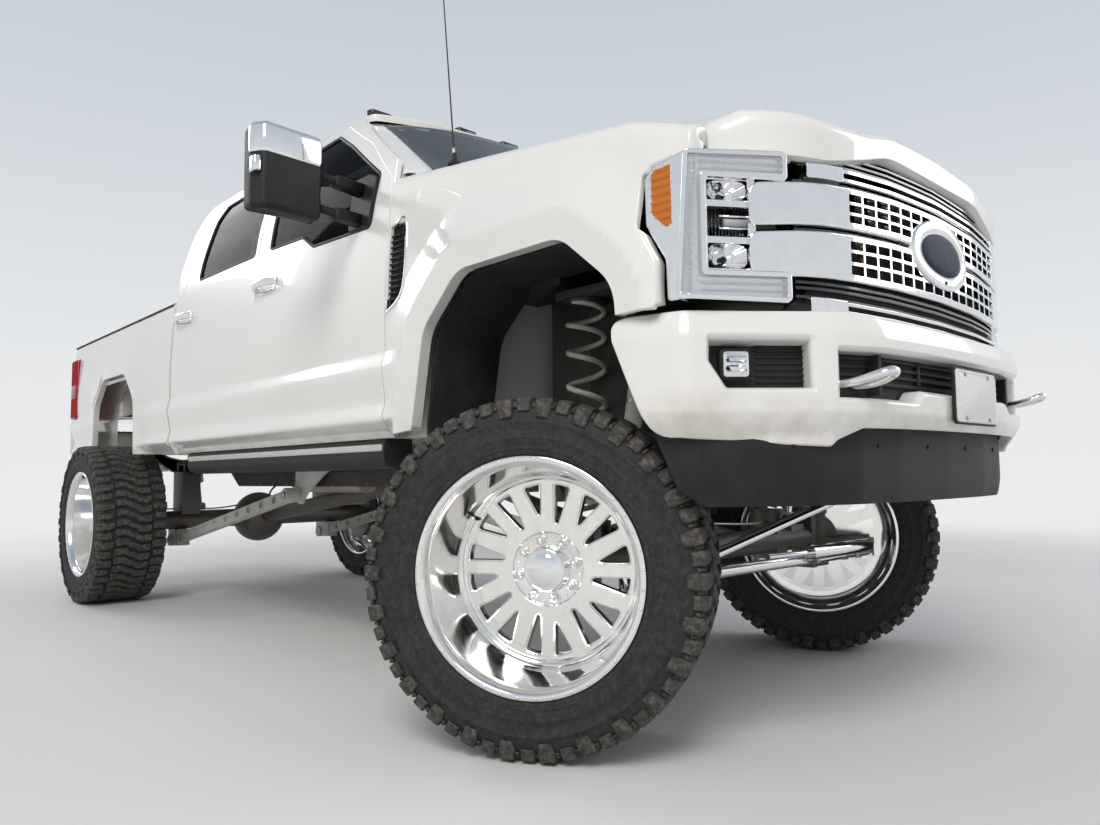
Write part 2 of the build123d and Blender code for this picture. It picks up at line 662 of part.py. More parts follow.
def front_axle():
    """Solid axle with its gear housing, spring seats and the forked ends for the knuckles."""
    tube = rod((-kingpin_x + 120, 0, axle_z), (kingpin_x - 120, 0, axle_z), axle_tube_radius)
    housing = Pos(-258, 10, axle_z) * Sphere(132)
    cup = rod((front_spring_x, front_spring_y, axle_z + 40), (front_spring_x, front_spring_y, spring_seat_z),
              spring_radius + 3)
    seats = both(cup + box(front_spring_x - 50, front_spring_x + 50, -40, 60, axle_z - 40, axle_z + 60))
    arm_lug = both(box(rail_x - 40, rail_x + 36, -45, 50, axle_z - 75, axle_z + 40))
    pinion = rod((-258, 60, axle_z + 20), (-258, pinion_y, axle_z + 20), 45)
    fork = both(box(kingpin_x - 135, kingpin_x - 100, -50, 50, axle_z - 130, axle_z + 130)
                + box(kingpin_x - 110, kingpin_x + 28, -34, 34, axle_z + 96, axle_z + 130)
                + box(kingpin_x - 110, kingpin_x + 28, -34, 34, axle_z - 130, axle_z - 96))
    return joined([tube, housing, seats, arm_lug, pinion, fork])


def knuckle():
    """Left steering knuckle, straight ahead: body between the fork's ears, arm and hub."""
    body = box(kingpin_x - 38, kingpin_x + 40, -36, 36, axle_z - 95.7, axle_z + 95.7)
    hub_end = kingpin_x + front_lip_reach - dish_depth - disc_thickness - joint_gap
    hub = rod((kingpin_x + 30, 0, axle_z), (hub_end, 0, axle_z), 84)
    return body + hub + Pos(kingpin_x, 0, tie_rod_z + 29) * steering_arm()


def steering_arm():
    """Flat forged arm that runs forward from its pivot to its ball joint."""
    outline = [(-32.0, -20.0), (32.0, -20.0), (25.0, 24 - steer_arm), (16.0, -steer_arm - 24),
               (-16.0, -steer_arm - 24), (-25.0, 24 - steer_arm)]
    return plan_prism(outline, joint_gap, 26)


def steered(piece, side):
    """Left-hand piece drawn straight ahead, mirrored where needed and turned to the rest angle."""
    own = piece if side > 0 else mirror(piece, about=Plane.YZ)
    pin = Pos(side * kingpin_x, 0, 0)
    return pin * Rot(0, 0, steer_at_rest) * Pos(-side * kingpin_x, 0, 0) * own


def arm_end(x, y):
    """Where an arm that pivots at (x, y) has its ball joint, at the rest angle."""
    turn = radians(steer_at_rest)
    return x + steer_arm * sin(turn), y - steer_arm * cos(turn)


def ball_joint(x, y, z):
    return rod((x, y, z - 23), (x, y, z + 29), 24)


def steering_links():
    """Tie rod between the two knuckles, with the drag link from the pitman arm."""
    right, left, pitman = arm_end(-kingpin_x, 0), arm_end(kingpin_x, 0), arm_end(pitman_x, pitman_y)
    tie = rod((*right, tie_rod_z), (*left, tie_rod_z), tie_rod_radius)
    drag = rod((right[0] + 130, right[1], tie_rod_z), (*pitman, drag_link_z), 18)
    balls = [ball_joint(*right, tie_rod_z), ball_joint(*left, tie_rod_z), ball_joint(*pitman, drag_link_z)]
    return joined([tie, drag] + balls)


def pitman_arm():
    arm = Rot(0, 0, steer_at_rest) * steering_arm()
    return Pos(pitman_x, pitman_y, drag_link_z + 29) * (arm + rod((0, 0, joint_gap), (0, 0, 76), 28))


def steering_box():
    """Steering gear bolted inside the left frame rail, above the pitman arm."""
    inner = rail_x - rail_width / 2
    base = drag_link_z + 29 + 76 + joint_gap
    return box(pitman_x - 70, inner - joint_gap, pitman_y - 90, pitman_y + 90, base, base + 230)


def rear_axle():
    reach = rear_lip_x - dish_depth - disc_thickness - joint_gap
    tube = rod((-reach, wheelbase, axle_z), (reach, wheelbase, axle_z), 62)
    housing = Pos(0, wheelbase + 15, axle_z) * Sphere(178)
    pads = both(box(rail_x + 35, rail_x + 155, wheelbase - 90, wheelbase + 90, axle_z + 40, axle_z + 330))
    brakes = both(rod((820, wheelbase, axle_z), (870, wheelbase, axle_z), 190))
    pinion = rod((0, rear_pinion_y, axle_z + 20), (0, wheelbase - 60, axle_z + 20), 55)
    return joined([tube, housing, pads, brakes, pinion])


def leaf_spring():
    """Arched pack of leaves beside the frame rail."""
    z = axle_z + 330 + joint_gap
    rows = ((-700.0, 118.0), (-380.0, 40.0), (0.0, 0.0), (400.0, 40.0), (760.0, 118.0))
    lower = [(wheelbase + y, z + rise) for y, rise in rows]
    upper = [(y, h + 46 - abs(y - wheelbase) * 0.035) for y, h in reversed(lower)]
    start = rail_x + rail_width / 2 + joint_gap
    hangers = box(start, rail_x + 130, wheelbase - 740, wheelbase - 680, z - 30, z + 160)
    hangers = hangers + box(start, rail_x + 130, wheelbase + 730, wheelbase + 790, z + 100, z + 250)
    return side_prism(lower + upper, rail_x + 60, rail_x + 130) + hangers


def strut(start, end, radius, keep):
    """Round bar run past both ends, then cut square to its seats by the box that is kept."""
    path = Line(start, end)
    along = path % 0
    return rod(Vector(*start) - along * 60, Vector(*end) + along * 60, radius) & keep


def radius_arm():
    y = 50 + joint_gap
    arm = strut((rail_x, y, axle_z - 30), (rail_x - 12, 1200, 690), 34, box(0, 900, y, 1210, 300, 900))
    return arm + box(rail_x - 42, rail_x + 22, 1200, 1290, 655, rail_mid_z - joint_gap)


def traction_bar():
    """Perforated bar under the rear spring, with its bracket on the frame."""
    x = front_spring_x
    bar = side_prism([(2360.0, 660.0), (2360.0, 722.0), (4120.0, 395.0), (4120.0, 333.0)], x - 30, x + 30)
    for i in range(9):
        y = 2520.0 + 170 * i
        z = 691.0 - (y - 2360.0) * 0.1858
        bar = bar - Pos(x, y, z) * Rot(0, 90, 0) * Cylinder(19, 100)
    bracket = side_prism([(1960.0, 846.0), (2380.0, 846.0), (2400.0, 660.0), (2330.0, 640.0), (2270.0, 700.0),
                          (2080.0, 800.0)], x - 52, x - 30 - joint_gap)
    foot = box(rail_x + rail_width / 2 + joint_gap, x - 30 - joint_gap, 1960, 2360, 826, 866)
    lower = box(x - 40, x + 40, wheelbase - 60, 4190, 330, axle_z - 62 - joint_gap)
    return bar + bracket + foot + lower


def shock(start, end, keep):
    body = strut(start, end, 24, keep)
    middle = tuple(a + (b - a) * 0.45 for a, b in zip(start, end))
    return body + strut(middle, end, 34, keep)


def shock_absorbers():
    front_box = box(0, 900, -400, 400, axle_z + 60 + joint_gap, spring_top_z - joint_gap)
    front = shock((530, -10, axle_z + 60), (530, -170, spring_top_z), front_box)
    rear_y = wheelbase + 130
    rear_box = box(0, 900, rear_y - 200, rear_y + 300, axle_z + 62, 1030 - joint_gap)
    rear = shock((rail_x - 30, rear_y - 60, axle_z + 62), (rail_x - 30, rear_y + 60, 1030), rear_box)
    return both(front + rear)


def driveline():
    """Gearbox with its transfer case, and the two propeller shafts."""
    case = box(-160, 160, 1150, 1880, 700, 905) + box(-250, -150, 1150, 1400, 700, 830)
    case = case + box(-60, 60, 1870, 1900 - joint_gap, 850, 895)
    rear = strut((0, 1880, 772), (0, rear_pinion_y, axle_z + 20), 48,
                 box(-90, 90, 1870, rear_pinion_y - joint_gap, 300, 1000))
    front = strut((-205, 1180, 760), (-258, pinion_y, axle_z + 20), 32,
                  box(-400, 0, pinion_y + joint_gap, 1200, 300, 1000))
    return joined([case, rear, front])


def engine_block():
    feet = both(box(280, rail_x - rail_width / 2 - joint_gap, -60, 60, 965, 1020))
    return box(-290, 290, -520, 560, 960, 1600) + feet


def radiator():
    return box(-385, 385, -690, -610, 1020 + joint_gap, 1600)


def exhaust():
    """Pipe along the right of the frame, over the axle and out behind the rear wheel."""
    x, z = -300.0, 770.0
    points = ((x, 720.0, z), (x, 3150.0, z), (x, 3700.0, 900.0), (x, 4540.0, 900.0), (-840.0, 5010.0, 838.0))
    pipes = [rod(a, b, 38) for a, b in zip(points, points[1:])]
    bends = [Pos(*p) * Sphere(38.5) for p in points[1:-1]]
    silencer = rod((x, 2010, z), (x, 2780, z), 72)
    hanger = box(x - 8, x + 8, 1930, 1950, z + 30, 842 - joint_gap)
    return joined(pipes + bends + [silencer, hanger])


def fuel_tank():
    return box(110, rail_x - rail_width / 2 - joint_gap, 2010, 2880, 655, 805)


def running_board():
    top = sill_z - joint_gap
    outline = [(816.0, top), (2900.0, top), (2850.0, 810.0), (860.0, 810.0), (816.0, 850.0)]
    return side_prism(outline, 800, 930)


def arch_liner():
    """Left front wheelhouse, inside the wing."""
    x0, x1 = 640.0, liner_outer_x - joint_gap
    outer = rounded_side_prism(inset(front_arch, -12), arch_radius + 12, x0, x1)
    inner = rounded_side_prism(front_arch, arch_radius, x0 - 5, x1 + 5)
    liner = (outer - inner) & box(x0, x1, -3000, 8000, 925, 1600)
    return liner - box(880, 1100, -3000, -400, 900, 1213)


# Inside the cab

def seat(x, y, width):
    cushion = box(x - width / 2, x + width / 2, y - 260, y + 260, floor_top_z + 250, floor_top_z + 400)
    base = box(x - width / 2 + 40, x + width / 2 - 40, y - 200, y + 220, floor_top_z, floor_top_z + 250)
    back = side_prism([(y + 180, 1370.0), (y + 300, 1370.0), (y + 430, 2010.0), (y + 330, 2010.0)],
                      x - width / 2, x + width / 2)
    head = side_prism([(y + 340, 2009.0), (y + 430, 2009.0), (y + 450, 2190.0), (y + 360, 2190.0)],
                      x - 130, x + 130)
    return joined([cushion, base, back, head])


def seats():
    front = seat(400, 1480, 520) + seat(-400, 1480, 520)
    bench = seat(0, 2340, 1500)
    return front + bench + box(-130, 130, 1250, 1800, floor_top_z, 1420)


def dashboard():
    start = cab_front_y + wall + joint_gap
    outline = [(start, 1250.0), (start, 1790.0), (start + 220, 1850.0), (dash_rear_y, 1790.0),
               (dash_rear_y, 1580.0), (start + 250, 1250.0)]
    return side_prism(outline, -780, 780)


def steering_wheel():
    start = dash_rear_y + joint_gap
    column = side_prism([(start, 1625.0), (start, 1690.0), (1212.0, 1735.0), (1212.0, 1670.0)], 370, 430)
    ring = revolve(make_face(Polyline(*[(185 + u, 0, w) for u, w in ngon(8, 17)], close=True)), Axis.Z)
    spokes = Box(360, 40, 20) + Box(110, 110, 36)
    return column + Pos(400, 1210, 1704) * Rot(68, 0, 0) * (ring + spokes)


def mirror_unit():
    """Left tow mirror: sail on the door, twin arms and the tall head."""
    corner = [(888.0, 1766.0), (1040.0, 1774.0), (1040.0, 1985.0), (930.0, 1985.0), (862.0, 1960.0)]
    sail = side_prism(corner, 700, 1100) & surface_band(-25, glass_depth - joint_gap)
    arms = rod((950, 965, 1800), (1180, 950, 1815), 17) + rod((940, 975, 1930), (1180, 955, 1945), 17)
    head = plan_prism([(1150.0, 900.0), (1390.0, 880.0), (1420.0, 930.0), (1420.0, 985.0), (1150.0, 1000.0)],
                      1750, 2070)
    return joined([sail, arms, head])


def door_handle(y):
    grip = box(side_x + 20, side_x + 38, y - 100, y + 100, 1676, 1708)
    posts = box(side_x - 20, side_x + 22, y - 98, y - 66, 1678, 1706)
    posts = posts + box(side_x - 20, side_x + 22, y + 66, y + 98, 1678, 1706)
    return grip + posts


def antenna():
    """Right-hand mast, on the narrow flat top of the wing beside the hood."""
    x, y = -884.0, 430.0
    base = ridge_z(y) + 2
    foot = rod((x, y, base), (x, y, base + 40), 8)
    return foot + rod((x, y, base + 30), (x, y + 80, 2700), 3)


def write(name, piece):
    export_step(Pos(0, -mid_y, 0) * piece, f"parts/{name}.step")


def main():
    os.makedirs("parts", exist_ok=True)
    skin = cab_skin()
    glass = surface_band(glass_depth, glass_depth + glass_thickness)
    write("cab_shell", cab_shell(skin))
    write("cab_glass", cab_glass(glass))
    # columns: name, outline, window, y of the handle
    doors = (("front", front_door_outline, front_window, pillar_y - 128),
             ("rear", rear_door_outline, rear_window, rear_door_end_y - 132))
    for name, outline, window, handle_y in doors:
        panel_left = door(skin, outline, window) + door_handle(handle_y)
        glass_left = door_glass(glass, window)
        write(f"{name}_door_left", panel_left)
        write(f"{name}_door_glass_left", glass_left)
        write(f"{name}_door_right", mirror(panel_left, about=Plane.YZ))
        write(f"{name}_door_glass_right", mirror(glass_left, about=Plane.YZ))
    tyre_solid, rim_solid = tyre(), rim()
    for side, sign in (("left", 1), ("right", -1)):
        write(f"front_tyre_{side}", front_wheel_at(tyre_solid, sign))
        write(f"front_rim_{side}", front_wheel_at(rim_solid, sign))
        write(f"rear_tyre_{side}", rear_wheel_at(tyre_solid, sign))
        write(f"rear_rim_{side}", rear_wheel_at(rim_solid, sign))
        write(f"knuckle_{side}", steered(knuckle(), sign))
    mirror_left = mirror_unit()
    write("mirror_left", mirror_left)
    write("mirror_right", mirror(mirror_left, about=Plane.YZ))
    pairs = (("front_fenders", fender()), ("headlamps", headlamp()), ("tow_hooks", tow_hook()),
             ("tail_lamps", tail_lamp()), ("coil_springs", coil_spring()), ("leaf_springs", leaf_spring()),
             ("radius_arms", radius_arm()), ("traction_bars", traction_bar()),
             ("running_boards", running_board()), ("arch_liners", arch_liner()), ("bed_sides", bed_side()),
             ("wheel_housings", wheel_housing()))
    for name, piece in pairs:
        write(name, both(piece))
    singles = (("hood", hood()), ("grille", grille()), ("front_bumper", front_bumper()),
               ("air_dam", air_dam()), ("front_plate", licence_plate()), ("cargo_bed", cargo_bed()),
               ("tailgate", tailgate()), ("rear_bumper", rear_bumper()), ("frame", frame()),
               ("front_axle", front_axle()),
               ("steering_links", steering_links()), ("rear_axle", rear_axle()),
               ("shock_absorbers", shock_absorbers()), ("driveline", driveline()),
               ("engine_block", engine_block()), ("radiator", radiator()), ("exhaust", exhaust()),
               ("fuel_tank", fuel_tank()), ("seats", seats()), ("dashboard", dashboard()),
               ("steering_wheel", steering_wheel()), ("antenna", antenna()), ("pitman_arm", pitman_arm()),
               ("steering_box", steering_box()))
    for name, piece in singles:
        write(name, piece)


main()
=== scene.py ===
import json
import math
import bmesh
import bpy
import numpy as np
from mathutils import Matrix, Vector
from mathutils.geometry import delaunay_2d_cdt


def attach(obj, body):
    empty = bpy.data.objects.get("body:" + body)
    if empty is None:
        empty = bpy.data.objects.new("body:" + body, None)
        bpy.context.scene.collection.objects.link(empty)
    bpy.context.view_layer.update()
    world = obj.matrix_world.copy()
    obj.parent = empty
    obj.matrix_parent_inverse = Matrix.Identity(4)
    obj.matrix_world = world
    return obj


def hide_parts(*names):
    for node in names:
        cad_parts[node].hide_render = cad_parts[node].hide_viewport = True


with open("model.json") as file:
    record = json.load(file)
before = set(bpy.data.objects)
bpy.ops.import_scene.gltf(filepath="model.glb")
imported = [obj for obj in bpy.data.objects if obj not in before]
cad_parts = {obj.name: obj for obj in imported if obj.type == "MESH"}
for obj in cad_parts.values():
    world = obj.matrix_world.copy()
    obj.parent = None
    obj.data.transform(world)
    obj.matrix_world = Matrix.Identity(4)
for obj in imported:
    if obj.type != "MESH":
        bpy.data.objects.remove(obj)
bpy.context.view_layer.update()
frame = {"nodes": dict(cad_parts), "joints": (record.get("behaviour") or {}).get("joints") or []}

# Lifted pickup truck. Shapes are worked out in millimetres, with y measured from the front
# axle, and toScene() turns them into the frame's metres.

joints = {j["name"]: j for j in frame["joints"]}
frontAxleY = joints["steer_left"]["pos_m"][1] * 1000
axleZ = joints["steer_left"]["pos_m"][2] * 1000
kingpinX = joints["steer_left"]["pos_m"][0] * 1000
rearAxleY = joints["rear_wheel_left_spin"]["pos_m"][1] * 1000 - frontAxleY
spinAxis = joints["front_wheel_left_spin"]["axis"]
restSteer = math.atan2(spinAxis[1], spinAxis[0])


# Helpers for numbers and outlines

def toScene(points):
    points = np.asarray(points, float).reshape(-1, 3)
    return (points + (0, frontAxleY, 0)) / 1000


def smoothStep(t):
    t = np.clip(t, 0, 1)
    return t * t * (3 - 2 * t)


def rectangle(x0, x1, y0, y1):
    return [(x0, y0), (x1, y0), (x1, y1), (x0, y1)]


def rounded(points, radius, steps=5):
    out = []
    count = len(points)
    radii = radius if isinstance(radius, (list, tuple)) else [radius] * count
    for i in range(count):
        before, here, after = (np.array(points[(i + k) % count], float) for k in (-1, 0, 1))
        inward, outward = before - here, after - here
        lenIn, lenOut = np.linalg.norm(inward), np.linalg.norm(outward)
        inward, outward = inward / lenIn, outward / lenOut
        turn = math.acos(max(-1, min(1, float(-inward @ outward))))
        if radii[i] <= 0 or turn < 0.02:
            out.append(tuple(here))
            continue
        back = min(radii[i] * math.tan(turn / 2), lenIn * 0.48, lenOut * 0.48)
        r = back / math.tan(turn / 2)
        bisector = (inward + outward) / np.linalg.norm(inward + outward)
        centre = here + bisector * math.hypot(r, back)
        start, end = here + inward * back - centre, here + outward * back - centre
        a0, a1 = math.atan2(start[1], start[0]), math.atan2(end[1], end[0])
        sweep = (a1 - a0 + math.pi) % (2 * math.pi) - math.pi
        for k in range(steps + 1):
            a = a0 + sweep * k / steps
            out.append((centre[0] + r * math.cos(a), centre[1] + r * math.sin(a)))
    return out


def divided(points, step, closed=True):
    out = []
    ends = points[1:] + points[:1] if closed else points[1:]
    for a, b in zip(points, ends):
        a, b = np.array(a, float), np.array(b, float)
        parts = max(1, int(math.ceil(np.linalg.norm(b - a) / step)))
        out += [tuple(a + (b - a) * k / parts) for k in range(parts)]
    if not closed:
        out.append(tuple(points[-1]))
    return out


def cleaned(points, least=0.6):
    out = []
    for p in points:
        if not out or math.dist(p, out[-1]) > least:
            out.append(tuple(p))
    if math.dist(out[0], out[-1]) < least:
        out.pop()
    return out


def isInside(points, outline):
    x, y = points[:, 0], points[:, 1]
    inside = np.zeros(len(points), bool)
    ends = outline[1:] + outline[:1]
    for (x0, y0), (x1, y1) in zip(outline, ends):
        if y0 != y1:
            crosses = (y0 > y) != (y1 > y)
            inside ^= crosses & (x < (x1 - x0) * (y - y0) / (y1 - y0) + x0)
    return inside


def distanceTo(points, outline, closed=True):
    line = np.asarray(outline, float)
    ends = np.roll(line, -1, axis=0) if closed else line[1:]
    starts = line if closed else line[:-1]
    best = np.full(len(points), 1e9)
    for a, b in zip(starts, ends):
        along = b - a
        size = float(along @ along) or 1.0
        t = np.clip(((points - a) @ along) / size, 0, 1)
        gap = points - (a + t[:, None] * along)
        best = np.minimum(best, np.hypot(gap[:, 0], gap[:, 1]))
    return best


def area(outline):
    return sum(a[0] * b[1] - b[0] * a[1] for a, b in zip(outline, outline[1:] + outline[:1])) / 2


def grown(outline, distance):
    sign = 1 if area(outline) > 0 else -1
    out = []
    count = len(outline)
    for i in range(count):
        a, b, c = (np.array(outline[(i + k) % count], float) for k in (-1, 0, 1))
        u, v = (b - a) / (np.linalg.norm(b - a) or 1), (c - b) / (np.linalg.norm(c - b) or 1)
        normal = np.array((u[1] + v[1], -u[0] - v[0])) * sign
        size = np.linalg.norm(normal) or 1
        normal = normal / size
        spread = max(0.5, float(normal @ (np.array((u[1], -u[0])) * sign)))
        out.append(tuple(b + normal * distance / spread))
    return out


# Helpers for meshes

class Shape:
    def __init__(self, name):
        self.name = name
        self.points, self.faces, self.slots, self.materials = [], [], [], []
        self.normals, self.sharp = {}, True

    def add(self, points, faces, material, normals=None):
        start = len(self.points)
        self.points += [tuple(p) for p in points]
        if material not in self.materials:
            self.materials.append(material)
        self.faces += [tuple(start + i for i in f) for f in faces]
        self.slots += [self.materials.index(material)] * len(faces)
        if normals is not None:
            self.normals.update({start + i: tuple(n) for i, n in enumerate(normals)})
        return self

    def addMirrored(self, other):
        material = other.materials
        points = [(-x, y, z) for x, y, z in other.points]
        start = len(self.points)
        self.points += points
        for m in material:
            if m not in self.materials:
                self.materials.append(m)
        self.faces += [tuple(start + i for i in reversed(f)) for f in other.faces]
        self.slots += [self.materials.index(material[s]) for s in other.slots]
        self.normals.update({start + i: (-n[0], n[1], n[2]) for i, n in other.normals.items()})
        return self

    def merge(self, other, matrix=None):
        start = len(self.points)
        points, normals = other.points, other.normals
        if matrix is not None:
            points = [tuple(matrix @ Vector(p)) for p in points]
            turn = matrix.to_3x3()
            normals = {i: tuple(turn @ Vector(n)) for i, n in normals.items()}
        self.points += points
        for m in other.materials:
            if m not in self.materials:
                self.materials.append(m)
        self.faces += [tuple(start + i for i in f) for f in other.faces]
        self.slots += [self.materials.index(other.materials[s]) for s in other.slots]
        self.normals.update({start + i: n for i, n in normals.items()})
        return self

    def mirrored(self):
        return Shape(self.name).addMirrored(self)

    def pair(self):
        return self.copy().addMirrored(self)

    def copy(self):
        return Shape(self.name).merge(self)

    def piece(self, name, body, replaces=(), sharpAngle=35.0):
        mesh = bpy.data.meshes.new(name)
        mesh.from_pydata([tuple(p) for p in toScene(self.points)], [], self.faces)
        for m in self.materials:
            mesh.materials.append(materials[m])
        mesh.polygons.foreach_set("material_index", self.slots)
        mesh.polygons.foreach_set("use_smooth", [True] * len(self.faces))
        mesh.update()
        mesh.set_sharp_from_angle(angle=math.radians(sharpAngle))
        if self.normals:
            blank = (0.0, 0.0, 0.0)
            mesh.normals_split_custom_set_from_vertices([self.normals.get(i,
                    blank) for i in range(len(self.points))])
        obj = bpy.data.objects.new(name, mesh)
        bpy.context.scene.collection.objects.link(obj)
        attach(obj, body)
        if replaces:
            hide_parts(*replaces)
        return obj


def gridFaces(rows, columns, closeRows=False, closeColumns=False, flip=False):
    faces = []
    for i in range(rows if closeRows else rows - 1):
        for j in range(columns if closeColumns else columns - 1):
            a, b = i * columns + j, i * columns + (j + 1) % columns
            c, d = ((i + 1) % rows) * columns + (j + 1) % columns, ((i + 1) % rows) * columns + j
            faces.append((a, d, c, b) if flip else (a, b, c, d))
    return faces


def lathe(profile, segments, centre=(0, 0, 0), axis="x", closed=False):
    # profile: (distance along the axis, radius)
    points = []
    for along, radius in profile:
        for k in range(segments):
            a = 2 * math.pi * k / segments
            u, v = radius * math.cos(a), radius * math.sin(a)
            local = {"x": (along, u, v), "y": (v, along, u), "z": (u, v, along)}[axis]
            points.append(tuple(c + p for c, p in zip(centre, local)))
    return points, gridFaces(len(profile), segments, closeRows=closed, closeColumns=True, flip=True)


def capFace(start, count, flip=False):
    loop = list(range(start, start + count))
    return tuple(reversed(loop)) if flip else tuple(loop)


def turned(shape, profile, segments, material, centre=(0, 0, 0), axis="x", caps=(True, True)):
    points, faces = lathe(profile, segments, centre, axis)
    faces = list(faces)
    if caps[0]:
        faces.append(capFace(0, segments, flip=True))
    if caps[1]:
        faces.append(capFace((len(profile) - 1) * segments, segments))
    if profile[-1][0] < profile[0][0]:
        faces = [tuple(reversed(f)) for f in faces]
    return shape.add(points, faces, material)


def frameAlong(path, up=(0, 0, 1)):
    path = [Vector(p) for p in path]
    frames = []
    side = None
    for i, p in enumerate(path):
        a, b = path[max(0, i - 1)], path[min(len(path) - 1, i + 1)]
        ahead = (b - a).normalized()
        if side is None:
            side = ahead.cross(Vector(up))
            if side.length < 0.05:
                side = ahead.cross(Vector((1, 0, 0)))
        side = (side - ahead * side.dot(ahead)).normalized()
        frames.append((p, side, side.cross(ahead)))
    return frames


def swept(shape, path, section, material, up=(0, 0, 1), caps=True, scales=None):
    # section: (sideways, upwards) outline carried along the path
    points = []
    for i, (p, side, top) in enumerate(frameAlong(path, up)):
        k = scales[i] if scales else 1.0
        points += [tuple(p + side * u * k + top * v * k) for u, v in section]
    n = len(section)
    faces = gridFaces(len(path), n, closeColumns=True, flip=area(section) > 0)
    if caps:
        faces = faces + [capFace(0, n, flip=area(section) < 0),
                         capFace((len(path) - 1) * n, n, flip=area(section) > 0)]
    return shape.add(points, faces, material)


def circle(radius, sides=16, turn=0.0):
    return [(radius * math.cos(turn + 2 * math.pi * k / sides),
             radius * math.sin(turn + 2 * math.pi * k / sides))
            for k in range(sides)]


def tube(shape, path, radius, material, sides=16, caps=True):
    return swept(shape, path, circle(radius, sides), material, caps=caps)


def softened(path, steps=6):
    # Catmull-Rom through the given points
    pts = [Vector(p) for p in path]
    pts = [pts[0] * 2 - pts[1]] + pts + [pts[-1] * 2 - pts[-2]]
    out = []
    for i in range(1, len(pts) - 2):
        a, b, c, d = pts[i - 1:i + 3]
        for k in range(steps):
            t = k / steps
            out.append(0.5 * (2 * b + (c - a) * t + (2 * a - 5 * b + 4 * c - d) * t * t
                              + (3 * b - a - 3 * c + d) * t ** 3))
    out.append(pts[-2])
    return [tuple(p) for p in out]


def prism(shape, outline, low, high, material, axis="z", bevel=0.0, steps=2):
    # outline in the two other axes, in order; a bevel rounds both end edges
    turnOver = area(outline) < 0
    outline = list(reversed(outline)) if turnOver else list(outline)
    rings = []
    if bevel:
        for k in range(steps + 1):
            a = math.pi / 2 * k / steps
            rings.append((low + bevel * (1 - math.cos(a)), grown(outline,
                    -bevel * (1 - math.sin(a)))))
        rings += [(high - (r[0] - low), r[1]) for r in reversed(rings)]
    else:
        rings = [(low, outline), (high, outline)]
    points = []
    for level, ring in rings:
        for u, v in ring:
            points.append({"x": (level, u, v), "y": (v, level, u), "z": (u, v, level)}[axis])
    n = len(outline)
    faces = gridFaces(len(rings), n, closeColumns=True)
    faces += [capFace(0, n, flip=True), capFace((len(rings) - 1) * n, n)]
    return shape.add(points, faces, material)


def block(shape, x0, x1, y0, y1, z0, z1, material, radius=0.0, edge=0.0, axis="z"):
    # box with rounded upright corners and soft end edges
    spans = {"x": ((y0, y1), (z0, z1), (x0, x1)), "y": ((z0, z1), (x0, x1), (y0, y1)),
             "z": ((x0, x1), (y0, y1), (z0, z1))}
    (a0, a1), (b0, b1), (low, high) = spans[axis]
    outline = rectangle(a0, a1, b0, b1)
    if radius:
        outline = rounded(outline, radius, 4)
    return prism(shape, outline, low, high, material, axis, edge)


def bolt(shape, centre, axis, size, material, height=None):
    # hexagon head on a washer, standing on the surface at centre
    height = height or size * 0.6
    z = Vector(axis).normalized()
    x = z.orthogonal().normalized()
    y = z.cross(x)
    rings = ((0, size * 1.25, 16), (size * 0.15, size * 1.25, 16))
    points, faces = [], []
    for level, r, n in rings:
        points += [tuple(Vector(centre) + z * level + (x * math.cos(2 * math.pi * k / n) + y
                                                       * math.sin(2 * math.pi * k / n)) * r)
                   for k in range(n)]
    faces += gridFaces(2, 16, closeColumns=True) + [capFace(16, 16)]
    shape.add(points, faces, material)
    points = []
    for level, r in ((size * 0.15, size), (height * 0.85, size), (height, size * 0.85)):
        points += [tuple(Vector(centre) + z * level + (x * math.cos(math.pi / 3 * k) + y
                                                       * math.sin(math.pi / 3 * k)) * r)
                   for k in range(6)]
    return shape.add(points, gridFaces(3, 6, closeColumns=True) + [capFace(12, 6)], material)


